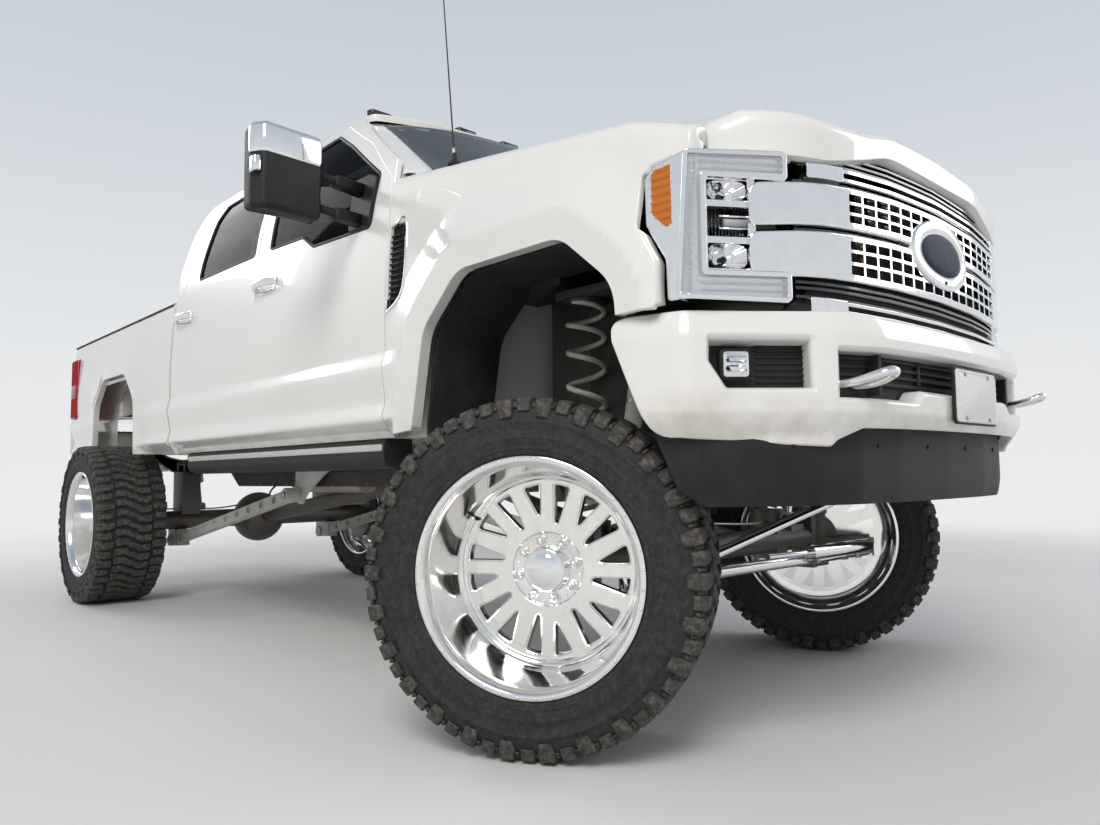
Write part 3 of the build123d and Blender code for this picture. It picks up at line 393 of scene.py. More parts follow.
def panelMesh(shape, mapAt, outline, material, holes=(), step=26.0, rows=(), columns=(), hem=(),
              holeHem=None, flip=False,
              lines=()):
    # Sheet over a smooth surface. mapAt(u, v) gives places in mm; hem rings (out, back) follow
    # the edges.
    outline = cleaned(divided(cleaned(outline), step))
    if area(outline) < 0:
        outline.reverse()
    holes = [cleaned(divided(cleaned(h), step)) for h in holes]
    holes = [list(reversed(h)) if area(h) > 0 else h for h in holes]
    us, vs = [p[0] for p in outline], [p[1] for p in outline]
    gridU = np.array(columns) if len(columns) else np.arange(min(us) + step * 0.5, max(us), step)
    gridV = np.array(rows) if len(rows) else np.arange(min(vs) + step * 0.5, max(vs), step)
    inner = np.array([(u, v) for v in gridV for u in gridU]).reshape(-1, 2)
    keep = isInside(inner, outline) & (distanceTo(inner, outline) > step * 0.22)
    for h in holes:
        (u0, v0), (u1, v1) = np.min(h, axis=0) - step, np.max(h, axis=0) + step
        near = np.flatnonzero((inner[:, 0] > u0) & (inner[:, 0] < u1) & (inner[:,
                1] > v0) & (inner[:, 1] < v1) & keep)
        keep[near] = ~isInside(inner[near], h) & (distanceTo(inner[near], h) > step * 0.22)
    for line in lines:
        keep &= distanceTo(inner, line, closed=False) > step * 0.15
    inner = inner[keep]
    coords = [Vector(p) for p in outline]
    edges = [(i, (i + 1) % len(outline)) for i in range(len(outline))]
    loops = [(0, len(outline), outline)]
    for h in holes:
        start = len(coords)
        coords += [Vector(p) for p in h]
        edges += [(start + i, start + (i + 1) % len(h)) for i in range(len(h))]
        loops.append((start, len(h), h))
    for line in lines:
        start = len(coords)
        line = [p for p in divided(list(line), step, closed=False)]
        coords += [Vector(p) for p in line]
        edges += [(start + i, start + i + 1) for i in range(len(line) - 1)]
    coords += [Vector(p) for p in inner]
    verts, _, tris, sources, _, _ = delaunay_2d_cdt(coords, edges, [], 0, 1e-4)
    uv = np.array([(v.x, v.y) for v in verts])
    tris = np.array([t for t in tris], int)
    middle = uv[tris].mean(axis=1)
    keep = isInside(middle, outline)
    for h in holes:
        (u0, v0), (u1, v1) = np.min(h, axis=0), np.max(h, axis=0)
        near = np.flatnonzero((middle[:, 0] > u0) & (middle[:, 0] < u1) & (middle[:,
                1] > v0) & (middle[:, 1] < v1))
        keep[near] &= ~isInside(middle[near], h)
    tris = tris[keep]
    a, b, c = uv[tris[:, 0]], uv[tris[:, 1]], uv[tris[:, 2]]
    turn = (b[:, 0] - a[:, 0]) * (c[:, 1] - a[:, 1]) - (b[:, 1] - a[:, 1]) * (c[:, 0] - a[:, 0])
    tris = np.array([t if s > 0 else t[::-1] for t, s in zip(tris, turn) if abs(s) > 1e-6])
    place = mapAt(uv[:, 0], uv[:, 1])
    normal = surfaceNormal(mapAt, uv)
    if flip:
        normal = -normal
    faces = [tuple(t[::-1]) if flip else tuple(t) for t in tris.tolist()]
    base = len(shape.points)
    shape.add(place, faces, material, normal)
    lookup = {k: i for i, ids in enumerate(sources) for k in ids}
    for number, (start, count, loop) in enumerate(loops):
        rings = hem if number == 0 or holeHem is None else holeHem
        if not rings:
            continue
        first = [lookup[start + k] for k in range(count)]
        addHem(shape, place[first], normal[first], [base + i for i in first], rings, material, flip)
    return shape


def surfaceNormal(mapAt, uv, small=1.5):
    u, v = uv[:, 0], uv[:, 1]
    du = mapAt(u + small, v) - mapAt(u - small, v)
    dv = mapAt(u, v + small) - mapAt(u, v - small)
    n = np.cross(du, dv)
    return n / np.maximum(np.linalg.norm(n, axis=1), 1e-9)[:, None]


def spotOn(mapAt, u, v):
    # a surface's point and normal at one place
    at = mapAt(np.array([float(u)]), np.array([float(v)]))[0]
    return at, surfaceNormal(mapAt, np.array([[float(u), float(v)]]))[0]


def addHem(shape, place, normal, index, rings, material, flip):
    # rings: distance out of the edge, distance back from the surface; a ring may also be a
    # function of the places
    count = len(place)
    along = np.roll(place, -1, axis=0) - np.roll(place, 1, axis=0)
    outward = np.cross(along, normal) * (-1 if flip else 1)
    outward /= np.maximum(np.linalg.norm(outward, axis=1), 1e-9)[:, None]
    rings = rings(place) if callable(rings) else [(np.full(count, float(o)),
                                                   np.full(count, float(b))) for o, b in rings]
    points, normals = [], []
    steps = [(np.zeros(count), np.zeros(count))] + list(rings)
    for k in range(1, len(steps)):
        out, back = steps[k]
        points.append(place + outward * out[:, None] - normal * back[:, None])
        before, after = steps[k - 1], steps[min(k + 1, len(steps) - 1)]
        runOut, runBack = after[0] - before[0], after[1] - before[1]
        n = outward * runBack[:, None] + normal * runOut[:, None]
        normals.append(n / np.maximum(np.linalg.norm(n, axis=1), 1e-9)[:, None])
    start = len(shape.points)
    ids = [list(index)] + [[start + k * count + i for i in range(count)]
                           for k in range(len(points))]
    faces = []
    for a, b in zip(ids, ids[1:]):
        for i in range(count):
            j = (i + 1) % count
            faces.append((a[i], a[j], b[j], b[i]) if flip else (a[j], a[i], b[i], b[j]))
    shape.points += [tuple(p) for p in np.concatenate(points)]
    shape.normals.update({start + i: tuple(n) for i, n in enumerate(np.concatenate(normals))})
    shape.faces += faces
    shape.slots += [shape.materials.index(material)] * len(faces)


def hemRings(radius, depth, steps=3):
    rings = [(radius * math.sin(math.pi / 2 * k / steps), radius
              * (1 - math.cos(math.pi / 2 * k / steps))) for k in range(1, steps + 1)]
    return rings + [(radius, radius + depth)]


def roundedCopy(name, body, material, width=3.0, segments=2, angle=40, extra=None):
    # the same node with soft edges; extra is a Shape that is joined to it
    mesh = frame["nodes"][name].data.copy()
    mesh.name = name + "_finish"
    mesh.materials.clear()
    mesh.materials.append(materials[material])
    obj = bpy.data.objects.new(name + "_finish", mesh)
    bpy.context.scene.collection.objects.link(obj)
    work = bmesh.new()
    work.from_mesh(mesh)
    bmesh.ops.remove_doubles(work, verts=work.verts, dist=2e-5)
    bmesh.ops.dissolve_limit(work, angle_limit=math.radians(1.0), verts=work.verts,
                             edges=work.edges)
    sharp = [e for e in work.edges if len(e.link_faces) == 2
             and e.calc_face_angle(0) > math.radians(angle)]
    if width:
        bmesh.ops.bevel(work, geom=sharp, offset=width / 1000, segments=segments, profile=0.5,
                        affect="EDGES", clamp_overlap=True)
    for f in work.faces:
        f.smooth = True
        f.material_index = 0
    work.to_mesh(mesh)
    work.free()
    mesh.set_sharp_from_angle(angle=math.radians(32))
    if extra is not None:
        joinShape(obj, extra)
    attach(obj, body)
    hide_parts(name)
    return obj


def joinShape(obj, shape):
    other = shape.piece(shape.name + "_part", "chassis")
    other.parent = None
    for o in bpy.context.selected_objects:
        o.select_set(False)
    bpy.context.view_layer.objects.active = obj
    obj.select_set(True)
    other.select_set(True)
    bpy.ops.object.join()


# Materials

studio = {"strength": 0.55,
          "light": [(0.0, (0.5, 0.48, 0.45)), (0.5, (0.6, 0.6, 0.6)), (1.0, (0.75, 0.8, 0.88))],
          "seen": [(0.0, (0.72, 0.715, 0.70)), (0.5, (0.84, 0.84, 0.835)),
                   (0.56, (0.80, 0.815, 0.83)), (0.70, (0.62, 0.665, 0.72)),
                   (1.0, (0.30, 0.37, 0.47))], "far": (0.84, 0.84, 0.835)}
materials = {}


def nodeTree(name):
    material = bpy.data.materials.new(name)
    material.use_nodes = True
    tree = material.node_tree
    shader = tree.nodes["Principled BSDF"]
    materials[name] = material
    return tree, shader


def addNode(tree, kind, settings=(), **inputs):
    node = tree.nodes.new(kind)
    for key, value in dict(settings).items():
        setattr(node, key, value)
    for key, value in inputs.items():
        node.inputs[key.replace("_", " ")].default_value = value
    return node


def link(tree, source, output, target, socket):
    tree.links.new(source.outputs[output], target.inputs[socket])


def texturePlace(tree, scale=(1, 1, 1)):
    coords = addNode(tree, "ShaderNodeTexCoord")
    mapping = addNode(tree, "ShaderNodeMapping", Scale=scale)
    link(tree, coords, "Object", mapping, "Vector")
    return mapping


def noiseNode(tree, scale, detail=4.0, roughness=0.55, stretch=(1, 1, 1)):
    place = texturePlace(tree, stretch)
    noise = addNode(tree, "ShaderNodeTexNoise", Scale=scale, Detail=detail, Roughness=roughness)
    link(tree, place, "Vector", noise, "Vector")
    return noise


def rampNode(tree, source, output, stops):
    ramp = addNode(tree, "ShaderNodeValToRGB")
    link(tree, source, output, ramp, "Fac")
    elements = ramp.color_ramp.elements
    while len(elements) < len(stops):
        elements.new(0.5)
    for element, (at, colour) in zip(elements, stops):
        element.position = at
        element.color = (*colour, 1) if len(colour) == 3 else colour
    return ramp


def mixNode(tree, factor, factorOut, a, b, blend="MIX"):
    # a and b are colours or (node, output)
    mix = addNode(tree, "ShaderNodeMix", {"data_type": "RGBA", "blend_type": blend})
    if factor is None:
        mix.inputs[0].default_value = factorOut
    else:
        link(tree, factor, factorOut, mix, 0)
    for socket, value in ((6, a), (7, b)):
        if isinstance(value[0], bpy.types.Node):
            tree.links.new(value[0].outputs[value[1]], mix.inputs[socket])
        else:
            mix.inputs[socket].default_value = (*value, 1)
    return mix


def bumpNode(tree, shader, source, output, strength, distance, chain=None):
    bump = addNode(tree, "ShaderNodeBump", Strength=strength, Distance=distance)
    link(tree, source, output, bump, "Height")
    if chain is not None:
        link(tree, chain, "Normal", bump, "Normal")
    link(tree, bump, "Normal", shader, "Normal")
    return bump


def heightMask(tree, low, high):
    # 1 below low, 0 above high, in metres over the ground
    coords = addNode(tree, "ShaderNodeTexCoord")
    split = addNode(tree, "ShaderNodeSeparateXYZ")
    link(tree, coords, "Object", split, "Vector")
    spread = addNode(tree, "ShaderNodeMapRange", {"clamp": True,
                                                  "interpolation_type": "SMOOTHSTEP"})
    for socket, value in (("From Min", low), ("From Max", high), ("To Min", 1.0), ("To Max", 0.0)):
        spread.inputs[socket].default_value = value
    link(tree, split, "Z", spread, "Value")
    return spread


def multiplied(tree, a, aOut, b, bOut):
    node = addNode(tree, "ShaderNodeMath", {"operation": "MULTIPLY"})
    link(tree, a, aOut, node, 0)
    link(tree, b, bOut, node, 1)
    return node


def setValues(shader, **values):
    for key, value in values.items():
        shader.inputs[key.replace("_", " ")].default_value = value


# the tan colour below is laid over the paint towards the bottom of the body, between about 0.92 m and 1.02
# m up, in noisy patches
paintLook = {"colour": (0.80, 0.79, 0.755), "pearl": (0.86, 0.855, 0.83),
             "dust": (0.58, 0.53, 0.45),
             "lowTintTop": 1.02, "lowTintBottom": 0.92}


def makePaint():
    tree, shader = nodeTree("paint")
    flake = noiseNode(tree, 900, 2, 0.6)
    tint = rampNode(tree, flake, "Fac", [(0.35, paintLook["colour"]), (0.7, paintLook["pearl"])])
    lowTintNoise = noiseNode(tree, 6, 6, 0.6)
    lowTintPatches = rampNode(tree, lowTintNoise, "Fac", [(0.38, (0, 0, 0)), (0.75, (1, 1, 1))])
    # tan colour and a rougher finish towards the bottom of the body, fading in from 1.02 m down to 0.92 m
    # up and broken into patches by large noise
    low = heightMask(tree, paintLook["lowTintBottom"], paintLook["lowTintTop"])
    dust = multiplied(tree, low, "Result", lowTintPatches, "Color")
    colour = mixNode(tree, dust, "Value", (tint, "Color"), paintLook["dust"])
    link(tree, colour, 2, shader, "Base Color")
    rough = addNode(tree, "ShaderNodeMapRange", To_Min=0.28, To_Max=0.75)
    link(tree, dust, "Value", rough, "Value")
    link(tree, rough, "Result", shader, "Roughness")
    setValues(shader, Coat_Weight=1.0, Coat_Roughness=0.035, Metallic=0.0)
    peel = noiseNode(tree, 220, 2, 0.5)
    bumpNode(tree, shader, peel, "Fac", 0.012, 0.002)


def makePlastic(name, colour, roughness, grain=700.0, depth=0.25, dusty=0.0, coat=0.0,
                specular=0.5):
    tree, shader = nodeTree(name)
    grainNode = noiseNode(tree, grain, 3, 0.6)
    cloud = noiseNode(tree, 9, 5, 0.6)
    light = tuple(min(1, c * 1.5 + 0.006) for c in colour)
    tint = rampNode(tree, cloud, "Fac", [(0.3, colour), (0.75, light)])
    if dusty:
        speck = noiseNode(tree, 28, 7, 0.7)
        cover = rampNode(tree, speck, "Fac", [(0.45, (0, 0, 0)), (0.85, (dusty, dusty, dusty))])
        tint = mixNode(tree, cover, "Color", (tint, "Color"), (0.35, 0.3, 0.23))
        link(tree, tint, 2, shader, "Base Color")
    else:
        link(tree, tint, "Color", shader, "Base Color")
    rough = addNode(tree, "ShaderNodeMapRange", To_Min=max(0.02, roughness - 0.08),
                    To_Max=min(1, roughness + 0.12))
    link(tree, cloud, "Fac", rough, "Value")
    link(tree, rough, "Result", shader, "Roughness")
    setValues(shader, Coat_Weight=coat, Specular_IOR_Level=specular)
    bumpNode(tree, shader, grainNode, "Fac", depth, 0.0006)


def makeMetal(name, colour, roughness, scratch=0.08, stretch=(1, 1, 1), grime=0.0, scale=60.0,
              grimeColour=(0.16, 0.12, 0.08)):
    tree, shader = nodeTree(name)
    setValues(shader, Metallic=1.0)
    streak = noiseNode(tree, scale, 6, 0.65, stretch)
    tint = rampNode(tree, streak, "Fac", [(0.3, tuple(c * 0.93 for c in colour)), (0.7, colour)])
    rough = addNode(tree, "ShaderNodeMapRange", To_Min=max(0.01, roughness * 0.6),
                    To_Max=roughness * 1.5)
    link(tree, streak, "Fac", rough, "Value")
    if grime:
        patch = noiseNode(tree, 14, 8, 0.7)
        cover = rampNode(tree, patch, "Fac", [(0.42, (0, 0, 0)), (0.8, (grime, grime, grime))])
        mixed = mixNode(tree, cover, "Color", (tint, "Color"), grimeColour)
        link(tree, mixed, 2, shader, "Base Color")
        dull = addNode(tree, "ShaderNodeMath", {"operation": "SUBTRACT", "use_clamp": True})
        dull.inputs[0].default_value = 1.0
        link(tree, cover, "Color", dull, 1)
        link(tree, dull, "Value", shader, "Metallic")
        worn = addNode(tree, "ShaderNodeMath", {"operation": "MAXIMUM"})
        link(tree, rough, "Result", worn, 0)
        half = addNode(tree, "ShaderNodeMath", {"operation": "MULTIPLY"})
        half.inputs[1].default_value = 0.85
        link(tree, cover, "Color", half, 0)
        link(tree, half, "Value", worn, 1)
        link(tree, worn, "Value", shader, "Roughness")
    else:
        link(tree, tint, "Color", shader, "Base Color")
        link(tree, rough, "Result", shader, "Roughness")
    fine = noiseNode(tree, scale * 12, 3, 0.6, stretch)
    bumpNode(tree, shader, fine, "Fac", scratch, 0.0004)


def makeRubber(name, colour, dustColour, dust):
    tree, shader = nodeTree(name)
    cloud = noiseNode(tree, 16, 7, 0.65)
    tint = rampNode(tree, cloud, "Fac", [(0.3, colour), (0.75,
            tuple(c * 1.7 + 0.004 for c in colour))])
    speck = noiseNode(tree, 60, 8, 0.75)
    cover = rampNode(tree, speck, "Fac", [(0.46, (0, 0, 0)), (0.8, (dust, dust, dust))])
    mixed = mixNode(tree, cover, "Color", (tint, "Color"), dustColour)
    link(tree, mixed, 2, shader, "Base Color")
    rough = addNode(tree, "ShaderNodeMapRange", To_Min=0.55, To_Max=0.95)
    link(tree, cloud, "Fac", rough, "Value")
    link(tree, rough, "Result", shader, "Roughness")
    setValues(shader, Specular_IOR_Level=0.35)
    fine = noiseNode(tree, 800, 4, 0.6)
    first = bumpNode(tree, shader, fine, "Fac", 0.25, 0.0006)
    bumpNode(tree, shader, cloud, "Fac", 0.25, 0.002, first)


def makeGlass(name, colour, roughness=0.0, ior=1.45, weight=1.0, ribs=0.0):
    tree, shader = nodeTree(name)
    haze = noiseNode(tree, 5, 5, 0.6)
    tint = rampNode(tree, haze, "Fac", [(0.3, tuple(c * 0.94 for c in colour)), (0.7, colour)])
    link(tree, tint, "Color", shader, "Base Color")
    rough = addNode(tree, "ShaderNodeMapRange", To_Min=roughness, To_Max=roughness + 0.03)
    link(tree, haze, "Fac", rough, "Value")
    link(tree, rough, "Result", shader, "Roughness")
    setValues(shader, Transmission_Weight=weight, IOR=ior)
    if ribs:
        place = texturePlace(tree)
        wave = addNode(tree, "ShaderNodeTexWave", {"bands_direction": "Z"}, Scale=ribs,
                       Distortion=0.3)
        link(tree, place, "Vector", wave, "Vector")
        bumpNode(tree, shader, wave, "Fac", 0.35, 0.001)


def makeCoat(name, colour, rough, grime, grimeColour):
    # powder coat or thick paint with grease and dust in it
    tree, shader = nodeTree(name)
    peel = noiseNode(tree, 260, 3, 0.5)
    patch = noiseNode(tree, 11, 9, 0.7)
    cover = rampNode(tree, patch, "Fac", [(0.4, (0, 0, 0)), (0.85, (grime, grime, grime))])
    small = noiseNode(tree, 90, 5, 0.7)
    tint = rampNode(tree, small, "Fac", [(0.3, tuple(c * 0.86 for c in colour)), (0.7, colour)])
    mixed = mixNode(tree, cover, "Color", (tint, "Color"), grimeColour)
    link(tree, mixed, 2, shader, "Base Color")
    spread = addNode(tree, "ShaderNodeMapRange", To_Min=rough, To_Max=min(1.0, rough + 0.35))
    link(tree, patch, "Fac", spread, "Value")
    link(tree, spread, "Result", shader, "Roughness")
    bumpNode(tree, shader, peel, "Fac", 0.12, 0.0008)


def makeLeather():
    tree, shader = nodeTree("leather")
    cells = addNode(tree, "ShaderNodeTexVoronoi", {"feature": "DISTANCE_TO_EDGE"}, Scale=380.0)
    link(tree, texturePlace(tree), "Vector", cells, "Vector")
    cloud = noiseNode(tree, 12, 5, 0.6)
    tint = rampNode(tree, cloud, "Fac", [(0.3, (0.045, 0.04, 0.036)), (0.75, (0.09, 0.08, 0.07))])
    link(tree, tint, "Color", shader, "Base Color")
    setValues(shader, Roughness=0.48)
    bumpNode(tree, shader, cells, "Distance", 0.4, 0.0008)


def anyViewRay(tree):
    # camera, glossy or transmission ray
    path = addNode(tree, "ShaderNodeLightPath")
    first = addNode(tree, "ShaderNodeMath", {"operation": "ADD"})
    link(tree, path, "Is Camera Ray", first, 0)
    link(tree, path, "Is Glossy Ray", first, 1)
    both = addNode(tree, "ShaderNodeMath", {"operation": "ADD", "use_clamp": True})
    link(tree, first, "Value", both, 0)
    link(tree, path, "Is Transmission Ray", both, 1)
    return both


def makeFloor():
    tree, shader = nodeTree("floor")
    cloud = noiseNode(tree, 0.7, 4, 0.5)
    tint = rampNode(tree, cloud, "Fac", [(0.3, (0.74, 0.73, 0.715)), (0.7, (0.77, 0.76, 0.745))])
    link(tree, tint, "Color", shader, "Base Color")
    setValues(shader, Roughness=0.85, Specular_IOR_Level=0.2)
    # far off, the floor takes the backdrop's colour
    coords = addNode(tree, "ShaderNodeTexCoord")
    reach = addNode(tree, "ShaderNodeVectorMath", {"operation": "LENGTH"})
    link(tree, coords, "Object", reach, "Vector")
    fade = addNode(tree, "ShaderNodeMapRange", {"interpolation_type": "SMOOTHSTEP"}, From_Min=4.0,
                   From_Max=11.0)
    link(tree, reach, "Value", fade, "Value")
    far = addNode(tree, "ShaderNodeEmission", Color=(*studio["far"], 1), Strength=1.0)
    seen = anyViewRay(tree)
    blend = multiplied(tree, fade, "Result", seen, "Value")
    mix = addNode(tree, "ShaderNodeMixShader")
    link(tree, blend, "Value", mix, "Fac")
    link(tree, shader, "BSDF", mix, 1)
    tree.links.new(far.outputs["Emission"], mix.inputs[2])
    link(tree, mix, "Shader", tree.nodes["Material Output"], "Surface")


def makeMaterials():
    makePaint()
    makePlastic("blackPlastic", (0.012, 0.012, 0.0125), 0.5, 900, 0.3, dusty=0.02, specular=0.25)
    makePlastic("softBlack", (0.018, 0.018, 0.0185), 0.62, 420, 0.45, dusty=0.05, specular=0.25)
    makePlastic("glossBlack", (0.008, 0.008, 0.009), 0.12, 300, 0.02, coat=0.6)
    makePlastic("deepBlack", (0.006, 0.006, 0.006), 0.8, 500, 0.2)
    makePlastic("cabinTrim", (0.05, 0.048, 0.045), 0.6, 800, 0.35)
    makePlastic("seal", (0.012, 0.012, 0.012), 0.55, 600, 0.2)
    makeMetal("chrome", (0.86, 0.87, 0.88), 0.05, 0.01, scale=20)
    makeMetal("alloy", (0.88, 0.87, 0.85), 0.10, 0.03, grime=0.06, scale=35)
    makeMetal("steel", (0.46, 0.45, 0.43), 0.32, 0.15, grime=0.5)
    makeMetal("exhaustSteel", (0.5, 0.45, 0.38), 0.36, 0.12, grime=0.55)
    makeMetal("castIron", (0.2, 0.19, 0.18), 0.5, 0.35, grime=0.8)
    makeMetal("reflector", (0.9, 0.9, 0.92), 0.07, 0.02, scale=50)
    makeRubber("rubber", (0.016, 0.016, 0.017), (0.23, 0.2, 0.16), 0.22)
    makeRubber("treadRubber", (0.03, 0.029, 0.028), (0.34, 0.3, 0.24), 0.6)
    makeGlass("cabGlass", (0.12, 0.14, 0.155), 0.0, 1.05)
    makeGlass("screenGlass", (0.62, 0.68, 0.70), 0.0, 1.45)
    makeGlass("lens", (0.93, 0.95, 0.97), 0.0, 1.3)
    makeGlass("ledPipe", (0.80, 0.83, 0.88), 0.12, 1.4, 0.55)
    makeGlass("amber", (1.0, 0.30, 0.04), 0.06, 1.4, 0.45, ribs=9.0)
    makeGlass("redLens", (0.55, 0.012, 0.02), 0.05, 1.4, 0.35, ribs=14.0)
    makeCoat("chassisPaint", (0.022, 0.021, 0.02), 0.5, 0.65, (0.13, 0.11, 0.085))
    makeCoat("springCoat", (0.56, 0.54, 0.49), 0.42, 0.5, (0.24, 0.2, 0.15))
    makeCoat("silverCoat", (0.62, 0.61, 0.58), 0.35, 0.35, (0.3, 0.27, 0.22))
    makeCoat("plateFace", (0.82, 0.82, 0.81), 0.35, 0.06, (0.6, 0.58, 0.55))
    makePlastic("emblemFace", (0.010, 0.016, 0.034), 0.4, 200, 0.02, specular=0.06)
    makeLeather()
    makeFloor()


makeMaterials()
print("materials ready:", len(materials))


# Camera, light and floor

photo = {"width": 1100, "focal": 825.7, "sensor": 36.0,
         "place": (-2606.7, -1911.2, 782.9), "yaw": 42.93, "pitch": 4.33, "roll": -0.65}


def makeCamera():
    yaw, pitch, roll = (math.radians(photo[k]) for k in ("yaw", "pitch", "roll"))
    look = Vector((math.sin(yaw) * math.cos(pitch), math.cos(yaw) * math.cos(pitch),
                   math.sin(pitch)))
    right = Vector((math.cos(yaw), -math.sin(yaw), 0))
    up = right.cross(look)
    sideways = right * math.cos(roll) + up * math.sin(roll)
    upwards = up * math.cos(roll) - right * math.sin(roll)
    data = bpy.data.cameras.new("photoCamera")
    data.sensor_fit = "HORIZONTAL"
    data.sensor_width = photo["sensor"]
    data.lens = photo["focal"] * photo["sensor"] / photo["width"]
    camera = bpy.data.objects.new("photoCamera", data)
    bpy.context.scene.collection.objects.link(camera)
    basis = Matrix((sideways, upwards, -look)).transposed().to_4x4()
    camera.matrix_world = Matrix.Translation(Vector(toScene([photo["place"]])[0])) @ basis
    bpy.context.scene.camera = camera


def makeLamp(name, place, target, size, power, colour=(1, 1, 1)):
    data = bpy.data.lights.new(name, "AREA")
    data.shape, data.size, data.size_y = "RECTANGLE", size[0], size[1]
    data.energy, data.color = power, colour
    lamp = bpy.data.objects.new(name, data)
    bpy.context.scene.collection.objects.link(lamp)
    lamp.location = place
    lamp.rotation_mode = "QUATERNION"
    lamp.rotation_quaternion = (Vector(target) - Vector(place)).to_track_quat("-Z", "Y")




def makeStudio():
    scene = bpy.context.scene
    scene.view_settings.view_transform = "Standard"
    world = bpy.data.worlds.new("studio")
    scene.world = world
    world.use_nodes = True
    tree = world.node_tree
    shine = tree.nodes["Background"]
    coords = addNode(tree, "ShaderNodeTexCoord")
    split = addNode(tree, "ShaderNodeSeparateXYZ")
    link(tree, coords, "Generated", split, "Vector")
    spread = addNode(tree, "ShaderNodeMapRange", From_Min=-1.0, From_Max=1.0)
    link(tree, split, "Z", spread, "Value")
    sky = rampNode(tree, spread, "Result", studio["light"])
    link(tree, sky, "Color", shine, "Color")
    shine.inputs["Strength"].default_value = studio["strength"]
    plain = addNode(tree, "ShaderNodeBackground", Strength=1.0)
    seen = rampNode(tree, spread, "Result", studio["seen"])
    link(tree, seen, "Color", plain, "Color")
    mix = addNode(tree, "ShaderNodeMixShader")
    link(tree, anyViewRay(tree), "Value", mix, "Fac")
    link(tree, shine, "Background", mix, 1)
    tree.links.new(plain.outputs["Background"], mix.inputs[2])
    link(tree, mix, "Shader", tree.nodes["World Output"], "Surface")
    makeLamp("key", (-6.5, -6.0, 7.0), (0, -1.0, 1.0), (4.0, 4.0), 520, (1.0, 0.97, 0.93))
    makeLamp("fill", (7.0, -7.0, 5.0), (0, -1.0, 1.0), (5.0, 4.0), 200, (0.93, 0.96, 1.0))
    makeLamp("rear", (-2.0, 9.0, 6.0), (0, 1.0, 1.2), (6.0, 3.0), 300)
    size = 60.0
    mesh = bpy.data.meshes.new("studioFloor")
    mesh.from_pydata([(-size, -size, 0), (size, -size, 0), (size, size, 0), (-size, size, 0)], [],
                     [(0, 1, 2, 3)])
    mesh.materials.append(materials["floor"])
    floor = bpy.data.objects.new("studioFloor", mesh)
    scene.collection.objects.link(floor)


makeCamera()
makeStudio()

# Wheels, drawn with the outer lip plane at x = 0 and the middle of the truck towards -x

wheel = {"lip": 335.0, "lipInner": 319.0, "rivets": 40, "face": 207.0, "faceRadius": 262.0,
         "pairs": 8,
         "lugCircle": 86.0, "lugs": 8, "capStand": 44.0, "back": 241.0}
shortWindow = [(-16, 257), (-16, 166), (-23, 150), (-33, 160), (-77, 234), (-72, 246), (-45, 254)]
longWindow = [(18, 257), (18, 142), (28, 128), (40, 136), (75, 236), (70, 247), (45, 254)]


def wheelWindows():
    out = []
    for i in range(wheel["pairs"]):
        turn = 2 * math.pi * i / wheel["pairs"]
        for shape in (shortWindow, longWindow):
            soft = rounded(shape, [7, 9, 8, 8, 12, 4, 4], 3)
            out.append([(u * math.cos(turn) + r * math.sin(turn),
                         r * math.cos(turn) - u * math.sin(turn)) for u, r in soft])
    return out


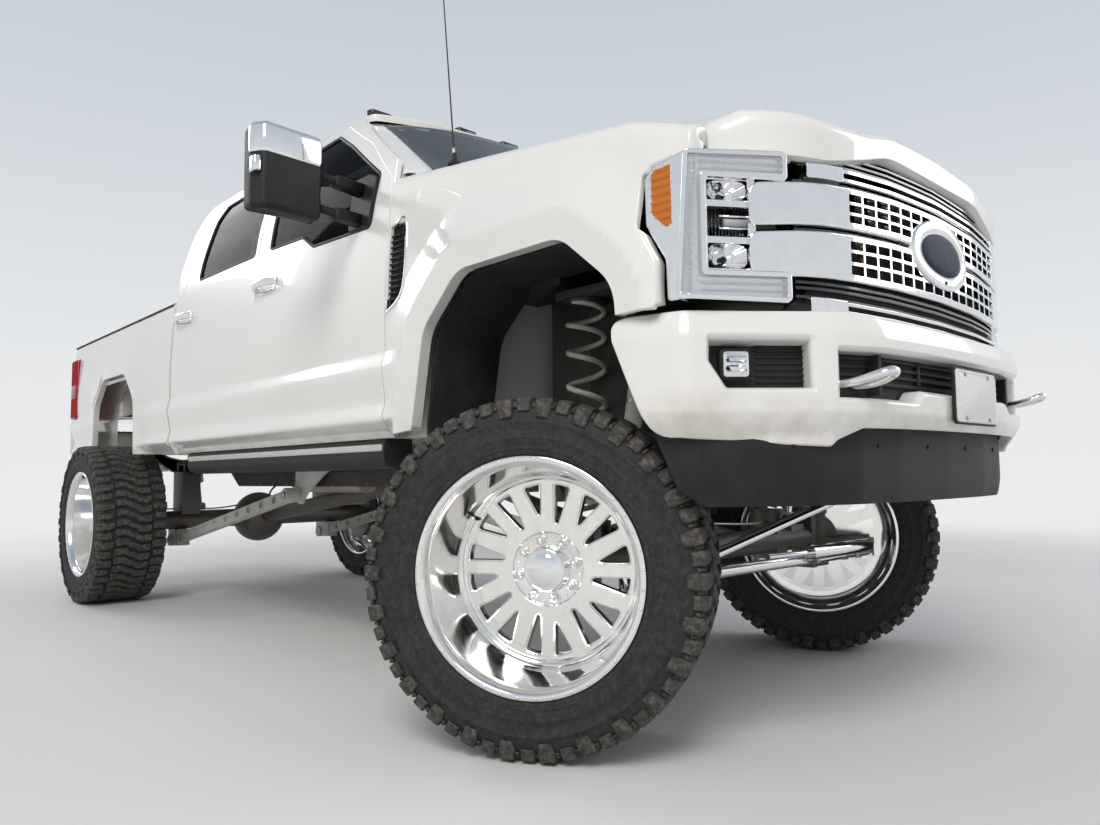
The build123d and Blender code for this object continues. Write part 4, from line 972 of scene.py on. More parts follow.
def rimShape():
    shape = Shape("rim")
    lip, inner, face, back = wheel["lip"], wheel["lipInner"], wheel["face"], wheel["back"]
    # columns: depth behind the lip plane, radius
    front = ((18, 322), (16, 328), (13, 333), (9, lip), (2, lip), (0.4, lip - 1.5),
             (0.4, inner + 2), (2, inner), (5, 316),
             (14, 308), (40, 304.5), (70, 300), (110, 292.5), (150, 286.5), (185, 284), (192, 280),
             (196, 276),
             (197.5, 272), (200, 269.5), (205, 267.5), (face, 265), (face, wheel["faceRadius"]))
    rear = ((back, 258), (back, 300), (back + 5, 306), (300, 309), (366, 312), (371, 320),
            (379, 322), (380, 324),
            (380, 333), (378, lip), (373, lip), (370, 330), (367, 323), (18, 322))
    for section in (front, rear):
        points, faces = lathe([(-d, r) for d, r in section], 96)
        shape.add(points, faces, "alloy")
    disc = circle(wheel["faceRadius"], 96)
    hub = circle(112.0, 64)
    windows = wheelWindows()
    edge = [(0.8, 0.3), (1.3, 1.4), (1.4, 3.4), (4.6, 3.8), (5.6, 4.8), (5.8, 20), (6.0, 34)]
    panelMesh(shape, lambda u, v: np.stack([np.full_like(u, -face), u, v], 1), disc, "alloy",
              [hub] + windows, step=16,
              holeHem=lambda place: hemWhere(place, edge))
    shape.add(*ringSheet(-back, 60, 258, windows), "alloy")
    hubProfile = ((face, 112), (face + 1, 109), (face + 8, 108), (face + 9, 106), (face + 9, 60))
    shape.add(*lathe([(-d, r) for d, r in hubProfile], 64), "alloy")
    for k in range(wheel["rivets"]):
        a = 2 * math.pi * (k + 0.5) / wheel["rivets"]
        dome(shape, (0.4, 327.5 * math.cos(a), 327.5 * math.sin(a)), (1, 0, 0), 4.6, 2.2, "chrome")
    for k in range(wheel["lugs"]):
        for shift, size in ((0, 12.5), (0.5, 3.6)):
            a = 2 * math.pi * (k + shift + 0.28) / wheel["lugs"]
            c, s = math.cos(a), math.sin(a)
            r = wheel["lugCircle"] + (0 if size > 5 else 10)
            middle = (-face - 9, r * c, r * s)
            if size < 5:
                bolt(shape, middle, (1, 0, 0), size, "chrome")
                continue
            well = ((0, 16.5), (2.5, 16.5), (3.5, 15.5), (3.5, 13.5), (-3, 13.0))
            shape.add(*lathe([(middle[0] + d, q) for d, q in well], 24, (0, middle[1], middle[2])),
                      "alloy")
            nut = ((0, 12.0), (22, 12.0), (27, 9.5), (30, 5.5), (31, 0.5))
            shape.add(*lathe([(middle[0] + d, q) for d, q in nut], 12, (0, middle[1], middle[2])),
                      "chrome")
    capBase = -face - 9
    stand = wheel["capStand"]
    # columns: height over the hub face, radius
    cap = ((0, 70), (3, 70), (5, 68), (8, 66), (stand - 6, 64), (stand - 2, 63), (stand, 60.5),
           (stand + 0.5, 58),
           (stand - 2, 56.5), (stand - 2, 54), (stand + 3, 44), (stand + 6.5, 32), (stand + 9, 16),
           (stand + 9.5, 0.5))
    shape.add(*lathe([(capBase + d, r) for d, r in cap], 64), "chrome")
    valve = Vector((-face + 2, -221, 148))
    turned(shape, [(-30, 6), (6, 6), (8, 5), (14, 4.5), (16, 3)], 12, "seal", valve)
    return shape


def hemWhere(place, rings):
    # the hub hole keeps a plain step, the windows get the full stepped edge
    count = len(place)
    radius = np.hypot(place[:, 1], place[:, 2]).mean() if abs(place[:,
            1].mean()) < 1 and abs(place[:, 2].mean()) < 1 else 0
    if radius:
        return [(np.full(count, 0.5), np.full(count, 0.5))]
    return [(np.full(count, float(o)), np.full(count, float(b))) for o, b in rings]


def ringSheet(x, inner, outer, windows):
    sheet = Shape("back")
    mapAt = lambda u, v: np.stack([np.full_like(u, x), u, v], 1)
    holes = [circle(inner, 48)] + [grown(w, -6.0) for w in windows]
    panelMesh(sheet, mapAt, circle(outer, 96), "alloy", holes, step=22, flip=True)
    return sheet.points, sheet.faces


def dome(shape, centre, axis, radius, height, material, sides=10):
    z = Vector(axis).normalized()
    x = z.orthogonal().normalized()
    y = z.cross(x)
    points = []
    for level, r in ((0, 1.0), (0.55, 0.85), (0.9, 0.45)):
        points += [tuple(Vector(centre) + z * height * level
                         + (x * math.cos(2 * math.pi * k / sides) +
                                                                y * math.sin(2 * math.pi * k
                / sides)) * radius * r)
                   for k in range(sides)]
    points.append(tuple(Vector(centre) + z * height))
    faces = gridFaces(3, sides, closeColumns=True)
    top = len(points) - 1
    faces += [(2 * sides + k, 2 * sides + (k + 1) % sides, top) for k in range(sides)]
    return shape.add(points, faces, material)


tyre = {"pitches": 26, "radius": 503.5, "middle": 190.0, "crownDrop": 6.0}


def crown(a):
    return tyre["radius"] - tyre["crownDrop"] * (abs(a) / tyre["middle"]) ** 3


def treadBlock(shape, stations, turn, mirrorIt=False):
    # columns: distance from the tread's middle, place round it, half width, top radius, root
    # distance, root radius
    points = []
    for a, s, w, top, rootA, root in stations:
        if mirrorIt:
            a, rootA, s = -a, -rootA, -s
        out = np.array((a - rootA, top - root))
        out = out / (np.linalg.norm(out) or 1)
        soft = 3.0
        low, high = np.array((rootA, root)), np.array((a, top))
        for part, width in ((low, w + 3), (high - out * soft, w + 0.6), (high, w - 2.2)):
            points.append((part, s - width))
        for part, width in ((high, w - 2.2), (high - out * soft, w + 0.6), (low, w + 3)):
            points.append((part, s + width))
    placed = []
    for (a, r), s in points:
        angle = turn + s / tyre["radius"]
        placed.append((-tyre["middle"] + a, r * math.cos(angle), r * math.sin(angle)))
    n = len(stations)
    faces = gridFaces(n, 6, flip=mirrorIt)
    ends = [tuple(range(6)), tuple(range((n - 1) * 6, n * 6))]
    faces += [tuple(reversed(ends[0])), ends[1]] if not mirrorIt else [ends[0],
            tuple(reversed(ends[1]))]
    faces = [tuple(reversed(f)) for f in faces]
    return shape.add(placed, faces, "treadRubber")


def tyreShape():
    shape = Shape("tyre")
    # columns: how far out of the lip plane, radius
    side = ((-18, 326), (-18, 333), (-10, 336.5), (-3, 338), (0, 341), (1.5, 347), (1.5, 351),
            (3.6, 353), (4.6, 356),
            (3.2, 359), (4.6, 366), (6.4, 380), (6.8, 383), (8.2, 384.5), (8.2, 387.5), (7.2, 389),
            (7.4, 405), (7.6, 425),
            (9.0, 427), (9.0, 430), (7.2, 432), (5.6, 443), (3, 455), (-1, 466), (-6, 476),
            (-14, 483), (-28, 486.5))
    crownRow = [(-60, 487.0), (-110, 488.0), (-150, 488.0)]
    outer = list(side) + crownRow
    whole = [(-380 - x, r) for x, r in outer] + [(x, r) for x, r in reversed(outer)]
    points, faces = lathe(whole, 104, closed=True)
    shape.add(points, faces, "rubber")
    big = [(112, 3, 17, crown(112), 112, 486), (150, 0, 20, crown(150), 150, 486),
           (180, -1, 21.5, crown(180), 178, 485),
           (193, -1, 22, 494.5, 185, 480), (199.5, -1, 22, 481, 192, 469),
           (203, -1, 20, 464, 196.5, 457), (204, -1, 17, 446, 200, 443)]
    small = [(124, 2, 15, crown(124), 124, 486), (155, 0, 17.5, crown(155), 155, 486),
             (178, 1, 18.5, crown(178), 176, 485),
             (189, 1, 19, 494.0, 184, 480), (196, 1, 19, 480, 190, 471),
             (200, 1, 17, 463, 196, 460)]
    centre = [(-14, -34, 12, crown(14), -14, 486), (8, -30, 15, crown(8), 8, 487),
              (26, -14, 19, crown(26), 26, 487),
              (48, -6, 17, crown(48), 48, 487), (76, -8, 20, crown(76), 76, 487),
              (101, -12, 18, crown(101), 101, 487)]
    step = 2 * math.pi / tyre["pitches"]
    pitch = step * tyre["radius"]
    for k in range(tyre["pitches"]):
        turn = step * k
        for flip in (False, True):
            treadBlock(shape, big, turn, flip)
            treadBlock(shape, small, turn + step / 2, flip)
            for half in (0.25, 0.75):
                treadBlock(shape, centre, turn + step * half, flip)
            for s in (-pitch / 4, pitch / 4):
                # narrow sipe bar between two shoulder lugs, and the tie bar under it
                bar = [(168, s, 4, 492, 168, 486), (186, s, 4, 487, 184, 480),
                       (197, s, 4, 473, 192, 470)]
                treadBlock(shape, bar, turn, flip)
    return shape


def placeWheels():
    rim, rubber = rimShape(), tyreShape()
    for side, name in ((1, "left"), (-1, "right")):
        facing = Matrix.Rotation(0 if side > 0 else math.pi, 4, "Z")
        steerTurn = Matrix.Rotation(restSteer, 4, "Z")
        front = Matrix.Translation((side * kingpinX, 0,
                                    axleZ)) @ steerTurn @ facing @ Matrix.Translation((350, 0, 0))
        rear = Matrix.Translation((0, rearAxleY, axleZ)) @ facing @ Matrix.Translation((1195, 0, 0))
        for end, matrix in (("front", front), ("rear", rear)):
            body = f"wheel_{end}_{name}"
            Shape("rim").merge(rim, matrix).piece(f"rimFinish_{end}_{name}", body,
                                                  [f"{end}_rim_{name}"])
            Shape("tyre").merge(rubber, matrix).piece(f"tyreFinish_{end}_{name}", body,
                                                      [f"{end}_tyre_{name}"], 40)


placeWheels()
print("wheels ready")

# Body surfaces. Half width of the side against height, with its creases softened.

side = {"rows": [(905, 930), (930, 952), (960, 975), (982, 988), (984, 1002), (968, 1062),
                 (988, 1172), (989, 1190),
                 (974, 1243), (972, 1250), (976, 1350), (975, 1450), (968, 1600), (957, 1740),
                 (948, 1850), (924, 2010),
                 (864, 2220), (815, 2330), (775, 2400), (700, 2500)],
        "crease": 6.5, "upper": 40.0, "flare": 1016.0, "band": 95.0, "bandDrop": 14.0,
        "bulge": 170.0}
heights = np.arange(820.0, 2500.0, 2.0)


def smoothTable(sigma):
    rows = np.array([(z, x) for x, z in side["rows"]], float)
    raw = np.interp(heights, rows[:, 0], rows[:, 1])
    kernel = np.exp(-0.5 * (np.arange(-60, 61) * 2.0 / sigma) ** 2)
    return np.convolve(np.pad(raw, 60, mode="edge"), kernel / kernel.sum(), "valid")


blendUp = smoothStep((heights - 1290) / 70)
sideTable = smoothTable(side["crease"]) * (1 - blendUp) + smoothTable(side["upper"]) * blendUp

frontArch = rounded([(-452, 800), (-442, 1290), (-230, 1465), (262, 1465), (462, 1290), (560, 800)],
                    [0, 150, 150, 150, 150, 0], 7)
rearArch = [(rearAxleY + y, z) for y, z in rounded([(-480, 800), (-440, 1290), (-240, 1470),
                                                    (240, 1470), (440, 1290),
                                                    (480, 800)], [0, 150, 150, 150, 150, 0], 7)]
rearArch = [(y + 24, z) for y, z in rearArch]


def sideX(z):
    return np.interp(z, heights, sideTable)


def bodyX(y, z):
    y, z = np.asarray(y, float), np.asarray(z, float)
    x = sideX(z) - 12 * smoothStep((-540 - y) / 110)
    places = np.stack([y.ravel(), z.ravel()], 1)
    d = distanceTo(places, frontArch, closed=False).reshape(y.shape)
    w = (1 - np.clip((d - side["band"]) / side["bulge"], 0, 1)) ** 1.5
    x = np.where(d < side["band"], side["flare"] - side["bandDrop"] * (1 - d / side["band"]),
                 x * (1 - w) + side["flare"] * w)
    d = distanceTo(places, rearArch, closed=False).reshape(y.shape)
    reach = 130 + 200 * smoothStep((z - 1150) / 250)
    w = (1 - np.clip(d / reach, 0, 1)) ** 2
    return np.where(y > 3000, x * (1 - w) + 1012 * w, x)


def sideMap(y, z):
    return np.stack([bodyX(y, z), y, z], 1)


def sideInset(back):
    def mapAt(y, z):
        uv = np.stack([y, z], 1)
        return sideMap(y, z) - surfaceNormal(sideMap, uv) * back
    return mapAt


def ridge(y):
    y = np.asarray(y, float)
    return 1767 + 0.144 * (y + 457) - 0.22 * np.maximum(0, -457 - y)


crownForm = {"radius": 55.0, "turn": math.radians(80), "below": 62.0}


def fenderMap(y, v):
    # above the shoulder, v runs on round the crown to the shut line beside the hood
    start = ridge(y) - crownForm["below"]
    r, turn = crownForm["radius"], crownForm["turn"]
    over = np.maximum(0, v - start)
    angle = np.minimum(over / r, turn)
    flat = np.maximum(0, over - r * turn)
    x = bodyX(y, np.minimum(v, start)) - r * (1 - np.cos(angle)) - flat * math.sin(turn)
    z = np.minimum(v, start) + r * np.sin(angle) + flat * math.cos(turn)
    return np.stack([x, y, z], 1)


frontDoor = [(750, 936), (1937, 936), (1937, 2010), (1928, 2350), (1330, 2350), (985, 2142),
             (775, 1940), (750, 1860)]
rearDoor = [(1943, 936), (3017, 936), (3017, 1780), (2950, 1880), (2815, 1990), (2785, 2250),
            (2710, 2350), (1943, 2350)]
frontWindow = [(885, 1762), (1362, 1784), (1478, 1850), (1815, 1866), (1815, 2312), (1372, 2312),
               (1178, 2198), (852, 1972)]
rearWindow = [(1990, 1872), (2738, 1886), (2706, 2230), (2640, 2312), (1990, 2312)]
doorEdges = {"front": [22, 14, 8, 14, 60, 90, 60, 120], "rear": [14, 26, 60, 60, 90, 60, 60, 14]}
doorForm = {"handleZ": 1692.0, "front": (1812.0, frontDoor, frontWindow),
            "rear": (2885.0, rearDoor, rearWindow)}


def windowSeal(shape, window, back=5.0):
    # rubber channel that follows the edge of the glass
    loop = cleaned(divided(rounded(window, 26, 5), 40))
    path = sideInset(back)(np.array([p[0] for p in loop]), np.array([p[1] for p in loop]))
    section = [(-7, -7), (7, -7), (8, 4), (4, 8), (-4, 8), (-8, 4)]
    closedSweep(shape, [tuple(p) for p in path], section, "seal", (1, 0, 0))
    return shape


def closedSweep(shape, path, section, material, up):
    points = []
    count = len(path)
    for i, p in enumerate(path):
        ahead = (Vector(path[(i + 1) % count]) - Vector(path[i - 1])).normalized()
        sideways = ahead.cross(Vector(up)).normalized()
        top = sideways.cross(ahead)
        points += [tuple(Vector(p) + sideways * u + top * v) for u, v in section]
    n = len(section)
    return shape.add(points, gridFaces(count, n, closeRows=True, closeColumns=True,
                                       flip=area(section) > 0), material)


def handle(shape, y):
    # strap handle on two feet over a shallow dish
    z = doorForm["handleZ"]
    ys = np.linspace(y - 124, y + 124, 22)
    out = 50 * np.sin(np.pi * np.clip((ys - y + 124) / 248, 0, 1)) ** 0.45
    base = bodyX(ys, np.full_like(ys, z))
    path = [(b - 4 + o, yy, z) for b, o, yy in zip(base, out, ys)]
    section = [(u * 8.5, v * 17) for u, v in rounded(rectangle(-1, 1, -1, 1), 0.55, 4)]
    swept(shape, path, section, "chrome", (0, 0, 1))
    for k in (-1, 1):
        tube(shape, [(bodyX(y, z) - 6, y + k * 108, z), (bodyX(y, z) + 14, y + k * 108, z)], 15,
             "chrome", 14)
    cup = rounded([(y - 92, z - 36), (y + 92, z - 36), (y + 84, z + 34), (y - 84, z + 34)], 26, 5)
    panelMesh(shape, lambda a, b: sideInset(-3)(a, b), cup, "chrome", [grown(cup, -9)], step=30,
              hem=hemRings(2, 3))
    dish = lambda a, b: sideInset(14)(a, b)
    panelMesh(shape, dish, grown(cup, -8), "chrome", step=14, hem=[(1, -8), (1.5, -16)])
    return shape


def doorShape(name):
    handleY, outline, window = doorForm[name]
    shape = Shape(name)
    hem = hemRings(3.0, 22)
    crease = [[(min(p[0] for p in outline) + 4, z), (max(p[0] for p in outline) - 4, z)]
              for z in (1004, 1062, 1188, 1243)]
    soft = rounded(outline, doorEdges[name], 5)
    windowEdge = rounded(window, 26, 5)
    rows = [950, 965, 984, 1004, 1018, 1033, 1048, 1062, 1084, 1106, 1128, 1150, 1170, 1188, 1202,
            1216, 1230, 1243, 1258]
    rows += list(np.arange(1284, 2345, 27))
    panelMesh(shape, sideMap, soft, "paint", [windowEdge], step=27, rows=rows, hem=hem,
              holeHem=hemRings(3.5, 16), lines=crease)
    windowSeal(shape, window)
    handle(shape, handleY)
    pillar = {"front": (1822, 1932), "rear": (1948, 1984)}[name]
    strip = [(pillar[0], 1872), (pillar[1], 1874), (pillar[1], 2316), (pillar[0], 2316)]
    panelMesh(shape, sideInset(-1.5), rounded(strip, 6, 2), "glossBlack", step=40,
              hem=[(0.5, 0.6), (0.5, 3)])
    # inner box with its trim, seen when the door is open
    inner = grown(soft, -46)
    lowest = 992
    inner = [(y, max(z, lowest + 6)) for y, z in inner]
    panelMesh(shape, sideInset(24), grown(soft, -2), "seal", [rounded(window, 20, 4)], step=60,
              flip=True)
    panelMesh(shape, sideInset(96), cleaned(inner, 2.0), "cabinTrim", [grown(windowEdge, 14)],
              step=50, flip=True,
              hem=[(-3, -2), (-4, -10), (-4, -72)], holeHem=[(-2, -3), (-3, -70)])
    pad = np.array([(y, z) for y, z in rounded([(min(p[0] for p in window) + 80, 1440),
                                                (max(p[0] for p in window) - 60, 1440),
                                                  (max(p[0] for p in window) - 60, 1560),
                                                (min(p[0] for p in window) + 80, 1540)], 30, 4)])
    ribs = sideInset(112)(pad[:, 0], pad[:, 1])
    closedSweep(shape, [tuple(p) for p in ribs], circle(9, 8), "leather", (1, 0, 0))
    return shape


def placeDoors():
    for name in ("front", "rear"):
        shape = doorShape(name)
        glass = Shape(name)
        window = grown(rounded(doorForm[name][2], 26, 5), 4)
        panelMesh(glass, sideInset(7), window, "cabGlass", step=60, hem=[(0.5, 0.5), (0.5, 4.5)])
        panelMesh(glass, sideInset(12), window, "cabGlass", step=60, flip=True)
        for hand, own, pane in (("left", shape, glass), ("right", shape.mirrored(),
                glass.mirrored())):
            body = f"door_{name}_{hand}"
            own.piece(f"doorSkin_{name}_{hand}", body, [f"{name}_door_{hand}"])
            pane.piece(f"doorPane_{name}_{hand}", body, [f"{name}_door_glass_{hand}"])


placeDoors()
print("doors ready")


# Cab side frames, roof and windscreen

cabForm = {"sideEdge": [(762, 936), (3060, 932), (3060, 2010), (3040, 2218), (3000, 2360),
                        (2980, 2392), (1345, 2392),
                        (1215, 2352), (965, 2160), (752, 2002), (748, 1950)],
           "screenEdge": [(800, 740, 1995), (770, 965, 2161), (720, 1215, 2353)],
           "screenMiddle": [(0, 640, 1988), (0, 872, 2202), (0, 1102, 2401)],
           "markers": (-690, -260, 0, 260, 690)}


def roofMap(x, y):
    along = np.interp(y, [1090, 1180, 1350, 1700, 2300, 2800, 3010, 3040],
                      [0, 0.42, 0.8, 1.0, 0.98, 0.78, 0.55, 0.4])
    across = 1 - (np.abs(x) / 790) ** 2.4
    return np.stack([x, y, 2396 + 72 * along * np.clip(across, 0, 1)], 1)


def screenMap(u, v):
    # u from -1 to 1 across, v from 0 at the cowl to 1 at the header, both times 1000
    s, t = u / 1000, v / 1000
    edge = np.array(cabForm["screenEdge"], float)
    middle = np.array(cabForm["screenMiddle"], float)
    at = [0, 0.52, 1.0]
    ex, ey, ez = (np.interp(t, at, edge[:, k]) for k in range(3))
    my, mz = (np.interp(t, at, middle[:, k]) for k in (1, 2))
    bend = np.abs(s) ** 2.3
    return np.stack([s * ex, my + (ey - my) * bend, mz + (ez - mz) * bend], 1)


def placeCab():
    frameSide = Shape("cabSide")
    holes = [grown(rounded(o, doorEdges[n], 5), 6) for n, o in (("front", frontDoor),
            ("rear", rearDoor))]
    whole = rounded(cabForm["sideEdge"], [0, 10, 60, 60, 40, 40, 60, 60, 40, 10, 0], 4)
    ring = cleaned([(y, z) for y, z in whole])
    panelMesh(frameSide, lambda y, z: sideMap(y, z) + (1.0, 0, 0), ring, "paint",
              [joinedDoors(holes)], step=24,
              hem=hemRings(10, 14), holeHem=hemRings(3, 24))
    frameSide.addMirrored(frameSide.copy())
    roof = Shape("roof")
    outline = [(-742, 1235), (-400, 1150), (0, 1122), (400, 1150), (742, 1235), (742, 2960),
               (600, 3018), (-600, 3018), (-742, 2960)]
    panelMesh(roof, roofMap, rounded(outline, [40, 200, 200, 200, 40, 60, 60, 60, 60], 5), "paint",
              step=45, hem=hemRings(8, 26))
    for x in cabForm["markers"]:
        y = 1150 + 0.00017 * x * x + 18
        z = roofMap(np.array([float(x)]), np.array([float(y)]))[0][2]
        lamp = [(x - 62, y + 20), (x - 50, y - 14), (x + 50, y - 14), (x + 62, y + 20),
                (x + 40, y + 44), (x - 40, y + 44)]
        prism(frameSide, rounded(lamp, 10, 3), z - 6, z + 20, "glossBlack", "z", 8, 3)
    frameSide.piece("cabSideSkins", "chassis")
    roof.piece("roofSkin", "chassis")
    glass = Shape("screen")
    border = rounded(rectangle(-985, 985, 20, 985), 40, 5)
    panelMesh(glass, screenMap, border, "screenGlass", step=60, hem=[(1, 1), (1, 6)])
    back = rounded([(-560, 1930), (560, 1930), (540, 2290), (-540, 2290)], 50, 5)
    panelMesh(glass, lambda u, v: np.stack([u, backY(u, v) - 6, v], 1), back, "cabGlass", step=60,
              hem=[(1, 1), (1, 6)], flip=True)
    glass.piece("screenPanes", "chassis", ["cab_glass"])
    black = Shape("screenBand")
    inner = rounded([(-925, 62), (925, 62), (915, 945), (-915, 945)], 60, 6)
    panelMesh(black, lambda u, v: screenMap(u, v) - (0, -3.5, -3.5) * np.array(-1.0), border,
              "glossBlack", [inner], step=40)
    for shift, length in ((-130, 560), (420, 520)):
        root = screenMap(np.array([shift * 1.0]), np.array([14.0]))[0]
        tip = screenMap(np.array([shift - length * 1.0]), np.array([150.0]))[0]
        lift = np.array((0, -14.0, 14.0))
        tube(black, softened([tuple(root + lift), tuple((root * 0.4 + tip * 0.6) + lift * 1.6),
                              tuple(tip + lift)], 6), 5.5, "deepBlack", 8)
        first, last = root * 0.25 + tip * 0.75, tip * 1.22 - root * 0.22
        swept(black, [tuple(first + lift * 0.6), tuple(last + lift * 0.6)],
              [(-2, -8), (2, -8), (4, 6), (-4, 6)], "seal")
    black.piece("screenTrim", "chassis")


def backY(x, z):
    # the rear wall leans forward above the belt
    return np.interp(z, [900, 2010, 2218, 2400], [3060, 3060, 3040,
                                                  3000]) - 14 * (np.abs(x) / 900) ** 4


def keptRun(points, keep):
    # the part of a closed outline that passes a test, in order
    start = next(i for i in range(len(points)) if keep(points[i]) and not keep(points[i - 1]))
    return [p for p in points[start:] + points[:start] if keep(p)]


def joinedDoors(holes):
    # both door openings as one outline, with the pillar between them left to the doors' own skins
    front, rear = [h if area(h) > 0 else h[::-1] for h in holes]
    return cleaned(keptRun(front, lambda p: p[0] < 1936) + keptRun(rear, lambda p: p[0] > 1946),
                   1.0)


placeCab()
print("cab ready")

# Wings, bed sides and hood

vent = [(618, 1470), (722, 1393), (736, 1400), (736, 1728), (622, 1728)]
bedForm = {"front": 3105.0, "rear": 5292.0, "rail": 1806.0}


def archPath(line, low, forward):
    # the arch line kept above a height, from its rear foot to its front foot or back again
    kept = [p for p in divided(line, 30, closed=False) if p[1] > low]
    return kept if forward else kept[::-1]


def fenderShape():
    shape = Shape("fender")
    r, turn = crownForm["radius"], crownForm["turn"]

    def top(y):
        return float(ridge(y)) - crownForm["below"] + r * turn + 27
    arch = archPath(frontArch, 925, True)
    rear = [p for p in arch if p[0] > -440 or p[1] > 1210]
    start = [(-444, 1206)]
    outline = [(-578, 1206), (-577, 1222), (-572, 1330), (-514, 1430), (-512, 1570), (-542, 1598),
               (-656, 1612)]
    outline += [(-661, top(-661)), (-457, top(-457)), (744, top(744)), (744, 925)]
    outline += [p for p in rear[::-1] if p[1] > 1206 or p[0] > 0] + start
    radii = [4, 4, 20, 22, 22, 14, 4, 4, 30, 6, 12] + [0] * (len(outline) - 11)
    edge = cleaned(rounded(outline, radii, 3), 2.0)
    band = [p for p in grown(frontArch, side["band"])]
    if distanceTo(np.array([band[len(band) // 2]]), frontArch, closed=False)[0] < 50:
        band = grown(frontArch, -side["band"])
    band = [p for p in band if p[0] < 700 and p[1] > 960 and (p[0] > 0 or p[1] > 1330)]
    band = [p for p in band if isInside(np.array([p]), edge)[0] and distanceTo(np.array([p]),
            edge)[0] > 6]
    rows = [950, 965, 984, 1004, 1018, 1033, 1048, 1062, 1084, 1106, 1128, 1150, 1170, 1188, 1202,
            1216, 1230, 1243, 1258]
    rows += list(np.arange(1280, 1760, 22)) + list(np.arange(1762, 2050, 11))
    panelMesh(shape, fenderMap, edge, "paint", [rounded(vent, 10, 3)], step=24, rows=rows,
              hem=fenderHem,
              holeHem=hemRings(3, 24), lines=[divided(band, 24, closed=False)] if len(band) > 3
              else ())
    return shape


def fenderHem(place):
    # a broad turned-in flange round the wheel, a bevel to the lamp, a small edge elsewhere
    arch = distanceTo(place[:, 1:], frontArch, closed=False) < 6
    lamp = (place[:, 1] < -520) & (place[:, 2] > 1215)
    first = np.where(lamp, 14.0, 3.0)
    count = len(place)
    rings = [(first * 0.45, first * 0.25), (first * 0.8, first * 0.9), (first * 1.0, first * 2.2)]
    rings = [(a, b) for a, b in rings]
    return rings + [(first, np.where(arch, 42.0, np.where(lamp, 52.0, 20.0)) + np.zeros(count))]


def ventInsert(shape):
    # black mesh panel with a bright frame along its front and lower edges
    inner = rounded([(620, 1471), (722, 1395), (734, 1402), (734, 1726), (624, 1726)], 8, 3)
    slope = (vent[0][1] - vent[1][1]) / (vent[1][0] - vent[0][0])
    panelMesh(shape, lambda y, z: sideInset(15)(y, z), inner, "deepBlack", step=40)
    for k in range(13):
        z = 1418 + 22 * k
        y0, y1 = max(624, 722 - (z - 1396) / slope), 732
        if y1 - y0 > 12:
            path = sideInset(9)(np.array([y0, y1], float), np.array([z, z + 6.0]))
            tube(shape, [tuple(p) for p in path], 3.6, "blackPlastic", 8)
    for k in range(5):
        y = 640 + 20 * k
        low = max(1402, 1398 + (722 - y) * slope)
        if low < 1700:
            path = sideInset(11)(np.array([y, y], float), np.array([low, 1722.0]))
            tube(shape, [tuple(p) for p in path], 3.0, "blackPlastic", 8)
    rim = [(732, 1440), (732, 1404), (722, 1398), (622, 1472), (626, 1724), (700, 1724)]
    path = sideInset(2)(np.array([float(p[0]) for p in rim]), np.array([float(p[1]) for p in rim]))
    swept(shape, softened([tuple(p) for p in path], 5), rounded(rectangle(-5, 5, -7, 7), 3, 3),
          "chrome", (1, 0, 0))


def bedShape():
    shape = Shape("bedSide")
    arch = archPath(rearArch, 925, True)
    outline = [(bedForm["front"], 925), (bedForm["front"], bedForm["rail"]),
               (5288, bedForm["rail"]), (5288, 1712), (5126, 1712),
               (5126, 1238), (5288, 1238), (5288, 1176), (5240, 1176),
               (5240, 925)] + [p for p in arch[::-1] if p[1] > 925]
    radii = [10, 8, 16, 4, 10, 10, 4, 6, 10, 12] + [0] * (len(outline) - 10)
    edge = cleaned(rounded(outline, radii, 3), 2.0)
    rows = [950, 965, 984, 1004, 1018, 1033, 1048, 1062, 1084, 1106, 1128, 1150, 1170, 1188, 1202,
            1216, 1230, 1243, 1258]
    rows += list(np.arange(1284, 1800, 26))

    def hem(place):
        arch = distanceTo(place[:, 1:], rearArch, closed=False) < 6
        top = place[:, 2] > bedForm["rail"] - 3
        count = len(place)
        r = np.where(top, 12.0, 3.0)
        return [(r * 0.6, r * 0.25), (r * 0.9, r * 0.7), (r, r * 1.4),
                (r, np.where(arch, 36.0, 22.0) + np.zeros(count))]
    panelMesh(shape, sideMap, edge, "paint", step=26, rows=rows, hem=hem)
    # black caps on the rail, with stake pockets
    for y0, y1 in ((3112, 3800), (3808, 4500), (4508, 5120), (5128, 5286)):
        section = rounded([(884, 1801), (958, 1801), (958, 1812), (944, 1819), (892, 1819),
                           (862, 1814), (862, 1801)], 3, 3)
        swept(shape, [(0, y0, 0), (0, y0 + 8, 0), (0, y1 - 8, 0), (0, y1, 0)],
              [(x, z) for x, z in section], "softBlack", (0, 0, 1))
    return shape


hoodForm = {"nose": [(0, -905), (300, -897), (500, -876), (620, -853), (700, -827), (760, -782),
                     (810, -728), (872, -655)],
            "roll": 40.0, "halfWidth": 871.0, "rear": 588.0,
            "line": [(-905, 1708), (-820, 1724), (-700, 1740), (-560, 1754), (-457, 1762),
                     (-300, 1786), (200, 1858), (700, 1930)],
            "dome": [(0, 76), (150, 76), (270, 73), (335, 66), (385, 40), (430, 24), (520, 18),
                     (700, 15), (830, 8), (872, 0)],
            "lip": [(0, -50), (150, -46), (300, -40), (400, -42), (500, -60), (600, -80),
                    (770, -86), (850, -42)],
            "rise": [(-905, 0.42), (-800, 0.5), (-650, 0.58), (-500, 0.66), (-300, 0.76),
                     (100, 0.92), (400, 1.0), (700, 1.0)]}


def softInterp(x, rows, width):
    at = np.array(rows, float)
    total = np.zeros_like(np.asarray(x, float))
    for shift in np.linspace(-1, 1, 9):
        total = total + np.interp(np.asarray(x, float) + shift * width, at[:, 0], at[:, 1])
    return total / 9


